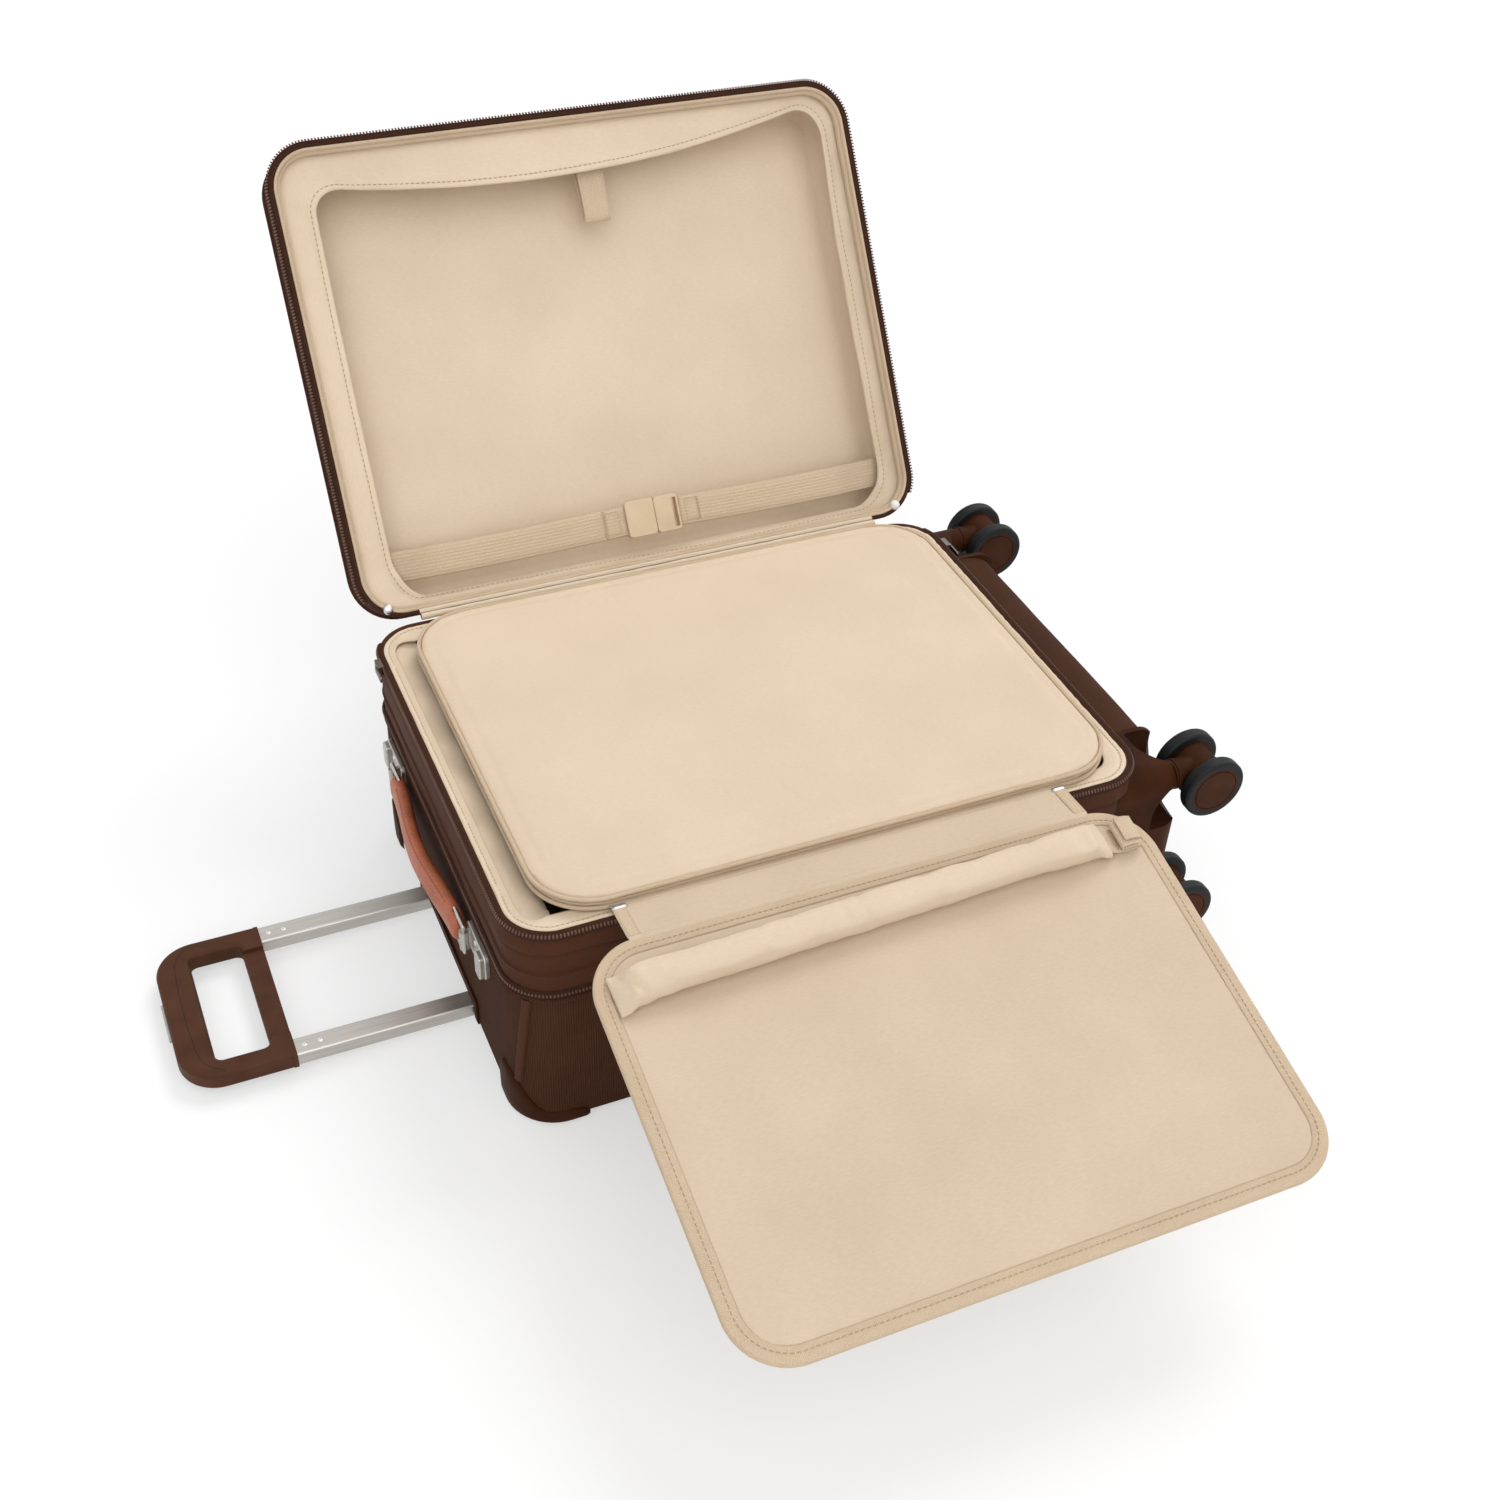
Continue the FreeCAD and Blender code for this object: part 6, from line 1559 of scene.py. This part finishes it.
TOP_HANDLE = (0.012, 0.128)
SIDE_HANDLE = (0.0, 0.106)
HANDLE_STAND_OFF = 0.0095
HANDLE_HALF = 0.102
LINK_HOLE = 0.0926
BRACKET_PLATE = 0.004
SCREW_Y = 0.130
SCREW_RISE = 0.0085


def on_end_wall(points):
    """Points drawn beside a handle's middle, placed on the handle end's wall."""
    return np.asarray(points, float) + np.array([-BODY_X, TOP_HANDLE[0], TOP_HANDLE[1]])


def on_near_wall(points):
    """Points drawn beside a handle's middle, turned and placed on the near long wall."""
    points = np.asarray(points, float)
    turned = points_at(-points[..., 1], points[..., 0], points[..., 2])
    return turned + np.array([SIDE_HANDLE[0], -BODY_Y, SIDE_HANDLE[1]])


HANDLES = (("top", on_end_wall), ("side", on_near_wall))


def leather_centre(y):
    """Middle of the grip's section along its length, and half its height there."""
    bow = np.cos(math.pi / 2 * y / HANDLE_HALF) ** 2
    full = np.maximum(0.0, 1 - (y / HANDLE_HALF) ** 8)
    return -HANDLE_STAND_OFF - 0.008 * bow, 0.0123 + 0.0045 * full


def make_leather_grip(name, place):
    """Leather grip rolled round a core, with flattened ends."""
    y = np.concatenate([np.linspace(-HANDLE_HALF + 0.0004, -HANDLE_HALF + 0.006, 6),
                        np.linspace(-HANDLE_HALF + 0.009, HANDLE_HALF - 0.009, 64),
                        np.linspace(HANDLE_HALF - 0.006, HANDLE_HALF - 0.0004, 6)])[:, None]
    centre, tall = leather_centre(y)
    shrink = 1 - rounded_off(HANDLE_HALF - np.abs(y), 0.005) / 0.0075 * 0.7
    cosine, sine = squarish(turns(32), 0.78)
    grid = points_at(centre + 0.0073 * shrink * cosine, y, tall * (0.5 + 0.5 * shrink) * sine)
    grid += points_at(cosine, 0.0, sine) * np.minimum(rumple(grid, 0.02, 0.0006, 29.0), 0.0)[..., None]
    points, faces, uvs = capped(grid)
    roll = (place(points), faces, uvs)
    make_piece(f"{name}_leather", f"{name}_handle", tan_leather, roll, [f"{name}_handle_grip"], "tan_leather")


def make_leather_stitches(name, place):
    """Two rows of stitches along the grip's outer side."""
    y = np.linspace(-HANDLE_HALF + 0.022, HANDLE_HALF - 0.022, 70)
    middle, tall = leather_centre(y)
    for row, side in (("lower", -1), ("upper", 1)):
        line = points_at(middle - 0.0048, y, side * (tall * 0.86))
        stitches = beads(place(line), facing(place, (-0.006, 0, side * 0.008)), *LEATHER_STITCH)
        make_piece(f"{name}_leather_stitches_{row}", f"{name}_handle", tan_thread, stitches)


def make_leather_holes(name, place):
    """Rimmed holes at the grip's ends, where the wire links go in, each shown as a dark disc of painted
    shade.
    """
    rims, holes = [], []
    around = np.linspace(0, 2 * math.pi, 25)
    level = leather_centre(np.array([LINK_HOLE]))[1][0]
    for end in (-1, 1):
        for side in (-1, 1):
            middle = np.array([-HANDLE_STAND_OFF, end * LINK_HOLE, side * level])
            rim = middle + points_at(0.0031 * np.cos(around), 0.0051 * np.sin(around), 0.0)
            rims.append(tube(place(rim), 0.0007, 6))
            # Each hole is a dark disc of painted shade, laid just over the leather.
            lift = np.array([0, 0, side * 0.0003])
            rings = [place(middle + (rim - middle) * share + lift) for share in (0.05, 0.6, 1.0)]
            holes.append(surface(np.stack(rings)))
    body = f"{name}_handle"
    make_piece(f"{name}_leather_rims", body, tan_leather, merged(*rims), slot="tan_leather")
    make_piece(f"{name}_leather_hole_shade", body, shadow_gap, merged(*holes), slot="tan_leather")


def make_bracket_screws(name, place):
    """Screw heads on the plates of one handle's brackets."""
    out = facing(place, (-1, 0, 0))
    spots = [(-BRACKET_PLATE, y, z) for y in (-SCREW_Y, SCREW_Y) for z in (-SCREW_RISE, SCREW_RISE)]
    heads = [dome(place(spot), out, *SCREW_HEAD) for spot in spots]
    make_piece(f"{name}_bracket_screws", "tub", bright_metal, merged(*heads), slot="bracket_metal")


# Trolley and casters

def make_trolley_details():
    """Rivets on the tubes and the moulding lines of the grip, drawn as thin near-black cords of painted
    shade.
    """
    rivets = []
    root = GRIP_HIGH.x
    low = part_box("trolley_inner_tubes")[0].z
    for y in (-TUBE_Y, TUBE_Y):
        for gap in (0.008, 0.022):
            rivets.append(dome((root + gap, y, TUBE_TOP), (0, 0, 1), *RIVET_HEAD))
            rivets.append(dome((root + gap, y, low), (0, 0, -1), *RIVET_HEAD))
    make_piece("tube_rivets", "trolley_inner", bright_metal, merged(*rivets), slot="tube_metal")
    seam = [(root - 0.061, GRIP_SIDE - 0.0052), (root - 0.070, GRIP_SIDE - 0.011),
            (root - 0.0785, GRIP_SIDE - 0.024), (root - 0.0812, 0.030), (root - 0.0818, 0.0)]
    seam = seam + [(x, -y) for x, y in reversed(seam[:-1])]
    # The grip's moulding lines are thin near-black cords: painted shade.
    lines = []
    for level in (GRIP_HIGH.z - 0.0002, GRIP_LOW.z + 0.0002):
        lines.append(tube(curve_points([(x, y, level) for x, y in seam], 80), 0.00032, 6))
    make_piece("grip_seam_shade", "trolley_inner", shadow_gap, merged(*lines), slot="grip_plastic")


def make_base_cover():
    """Twill cover of the wheel end between the housings, softly bowed."""
    low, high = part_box("base_tray")
    y = np.linspace(low.y + 0.0003, high.y - 0.0003, 60)
    start = BODY_X + 0.0004
    upper = [(0.0, -0.0004), (0.016, -0.0008), (0.030, -0.0032), (0.041, -0.0096), (0.0485, -0.0205),
             (0.0508, -0.034), (0.0512, -0.06)]
    lower = [(0.0512, 0.04), (0.0508, 0.016), (0.0480, 0.006), (0.041, 0.0006), (0.02, 0.0002), (0.0, 0.0002)]
    middle = (start + 0.0514, (low.z + high.z) / 2)
    rows = raised(upper, high.z, start) + [middle] + raised(lower, low.z, start)
    line = curve_points([(x, 0.0, z) for x, z in rows], 70)
    grid = points_at(line[:, 0], y[:, None], line[:, 2])
    grid[..., 0] += np.minimum(rumple(grid, 0.06, 0.0012, 31.0), 0.0002)
    make_piece("base_cover", "tub", twill, surface(grid), ["base_tray"], "twill")


def finish_cad_nodes():
    """Materials of the CAD nodes that stay in view."""
    links = [f"{side}_handle_link_{link}" for side in ("top", "side") for link in ("a", "b")]
    finishes = (
        (brown_moulded, ["back_cover", "skid_rails", "wheel_housings", "caster_bushes", "trolley_cup"]),
        (tube_metal, ["trolley_outer_tubes", "trolley_middle_tubes", "trolley_inner_tubes"]),
        (grip_moulded, ["trolley_grip"]),
        (grey_moulded, ["release_button"]),
        (bracket_metal, ["top_handle_brackets", "side_handle_brackets"] + links),
        (pale_moulded, ["buckle_socket", "buckle_tongue"]),
        (zip_metal, ["main_slider_left", "main_slider_right", "expansion_slider"]),
        (zip_metal, ["pocket_slider_1", "pocket_slider_2"]),
        (brown_moulded, [f"fork_{name}" for name in CASTERS]),
        (hub_moulded, [f"hubs_{name}" for name in CASTERS]),
        (tyre_rubber, [f"tyres_{name}" for name in CASTERS]),
    )
    for finish, nodes in finishes:
        for node in nodes:
            NODES[node].data.materials.clear()
            NODES[node].data.materials.append(finish)


# Stage

FLOOR_HALF = 8.0
FLOOR_DROP = 0.0004
FLOOR_GLOW = 0.5
DAYLIGHT = 0.62
SENSOR = 36.0
LENS = 45.157
CAMERA_PLACE = (-0.5593, -1.2174, 1.2738)
CAMERA_AZIMUTH = math.radians(-24.93)
CAMERA_ELEVATION = math.radians(39.49)
CAMERA_ROLL = math.radians(2.63)


def seen_directly(tree):
    """1 for rays to the eye, straight or by way of a mirror or glass, and 0 for light between surfaces."""
    rays = tree.nodes.new("ShaderNodeLightPath")
    total = rays.outputs["Is Camera Ray"]
    for name in ("Is Glossy Ray", "Is Transmission Ray"):
        larger = tree.nodes.new("ShaderNodeMath")
        larger.operation = "MAXIMUM"
        tree.links.new(total, larger.inputs[0])
        tree.links.new(rays.outputs[name], larger.inputs[1])
        total = larger.outputs["Value"]
    return total


def make_floor():
    """White floor that partly glows to the eye, so that only soft shadows show on it."""
    mesh = bpy.data.meshes.new("floor")
    corners = [(-1, -1), (1, -1), (1, 1), (-1, 1)]
    mesh.from_pydata([(x * FLOOR_HALF, y * FLOOR_HALF, 0) for x, y in corners], [], [(0, 1, 2, 3)])
    floor = bpy.data.objects.new("floor", mesh)
    bpy.context.scene.collection.objects.link(floor)
    floor.location.z = -FLOOR_DROP
    white = Finish("floor white", 0.9, shine=0.1)
    white.surface.inputs["Base Color"].default_value = (0.93, 0.93, 0.93, 1)
    paper = white.nodes.new("ShaderNodeEmission")
    share = white.nodes.new("ShaderNodeMixShader")
    by_eye = seen_directly(white.material.node_tree)
    white.links.new(white.number("MULTIPLY", by_eye, FLOOR_GLOW), share.inputs["Fac"])
    white.links.new(white.surface.outputs["BSDF"], share.inputs[1])
    white.links.new(paper.outputs["Emission"], share.inputs[2])
    white.links.new(share.outputs["Shader"], white.nodes["Material Output"].inputs["Surface"])
    mesh.materials.append(white.material)


def make_sun(name, strength, angle, direction):
    """Sun lamp that shines in a direction, softened by its angle in degrees."""
    lamp = bpy.data.lights.new(name, "SUN")
    lamp.energy = strength
    lamp.angle = math.radians(angle)
    light = bpy.data.objects.new(name, lamp)
    light.rotation_mode = "QUATERNION"
    light.rotation_quaternion = Vector(direction).to_track_quat("-Z", "Y")
    bpy.context.scene.collection.objects.link(light)


def make_light():
    """White surroundings, dimmer as a light than to the eye, a key from the upper right and a fill."""
    world = bpy.data.worlds.new("studio")
    bpy.context.scene.world = world
    world.use_nodes = True
    nodes, links = world.node_tree.nodes, world.node_tree.links
    nodes["Background"].inputs["Color"].default_value = (1, 1, 1, 1)
    strength = nodes.new("ShaderNodeMath")
    strength.operation = "MULTIPLY_ADD"
    links.new(seen_directly(world.node_tree), strength.inputs[0])
    strength.inputs[1].default_value = 1 - DAYLIGHT
    strength.inputs[2].default_value = DAYLIGHT
    links.new(strength.outputs["Value"], nodes["Background"].inputs["Strength"])
    make_sun("key", 1.15, 30, (-0.62, -0.42, -1.0))
    make_sun("fill", 1.25, 70, (0.12, 0.75, -0.8))


def make_camera():
    """The photograph's camera."""
    camera_data = bpy.data.cameras.new("camera")
    camera_data.sensor_width = SENSOR
    camera_data.lens = LENS
    camera = bpy.data.objects.new("camera", camera_data)
    flat = math.cos(CAMERA_ELEVATION)
    back = Vector((math.sin(CAMERA_AZIMUTH) * flat, -math.cos(CAMERA_AZIMUTH) * flat,
                   math.sin(CAMERA_ELEVATION)))
    right = Vector((math.cos(CAMERA_AZIMUTH), math.sin(CAMERA_AZIMUTH), 0))
    up = back.cross(right)
    rolled_right = right * math.cos(CAMERA_ROLL) + up * math.sin(CAMERA_ROLL)
    rolled_up = up * math.cos(CAMERA_ROLL) - right * math.sin(CAMERA_ROLL)
    turn = Matrix((rolled_right, rolled_up, back)).transposed()
    camera.matrix_world = Matrix.Translation(CAMERA_PLACE) @ turn.to_4x4()
    bpy.context.scene.collection.objects.link(camera)
    bpy.context.scene.camera = camera
    bpy.context.scene.view_settings.view_transform = "Standard"


make_tub_wall()
make_tub_bands()
make_tub_lining()
make_zips()
make_corner_strips()
make_corner_guards()
make_lid_skin()
make_lid_lining()
make_lid_ledge()
make_lid_frame()
make_belt()
make_hanger_loop()
make_front_pockets()
make_hinge_cloths()
make_middle_panel()
make_fold_strip()
make_flap()
make_folder_hinges()
make_roller_bar()
make_bar_strap()
for handle, wall in HANDLES:
    make_leather_grip(handle, wall)
    make_leather_stitches(handle, wall)
    make_leather_holes(handle, wall)
for handle, wall in HANDLES:
    make_bracket_screws(handle, wall)
make_trolley_details()
make_base_cover()
finish_cad_nodes()
make_floor()
make_light()
make_camera()
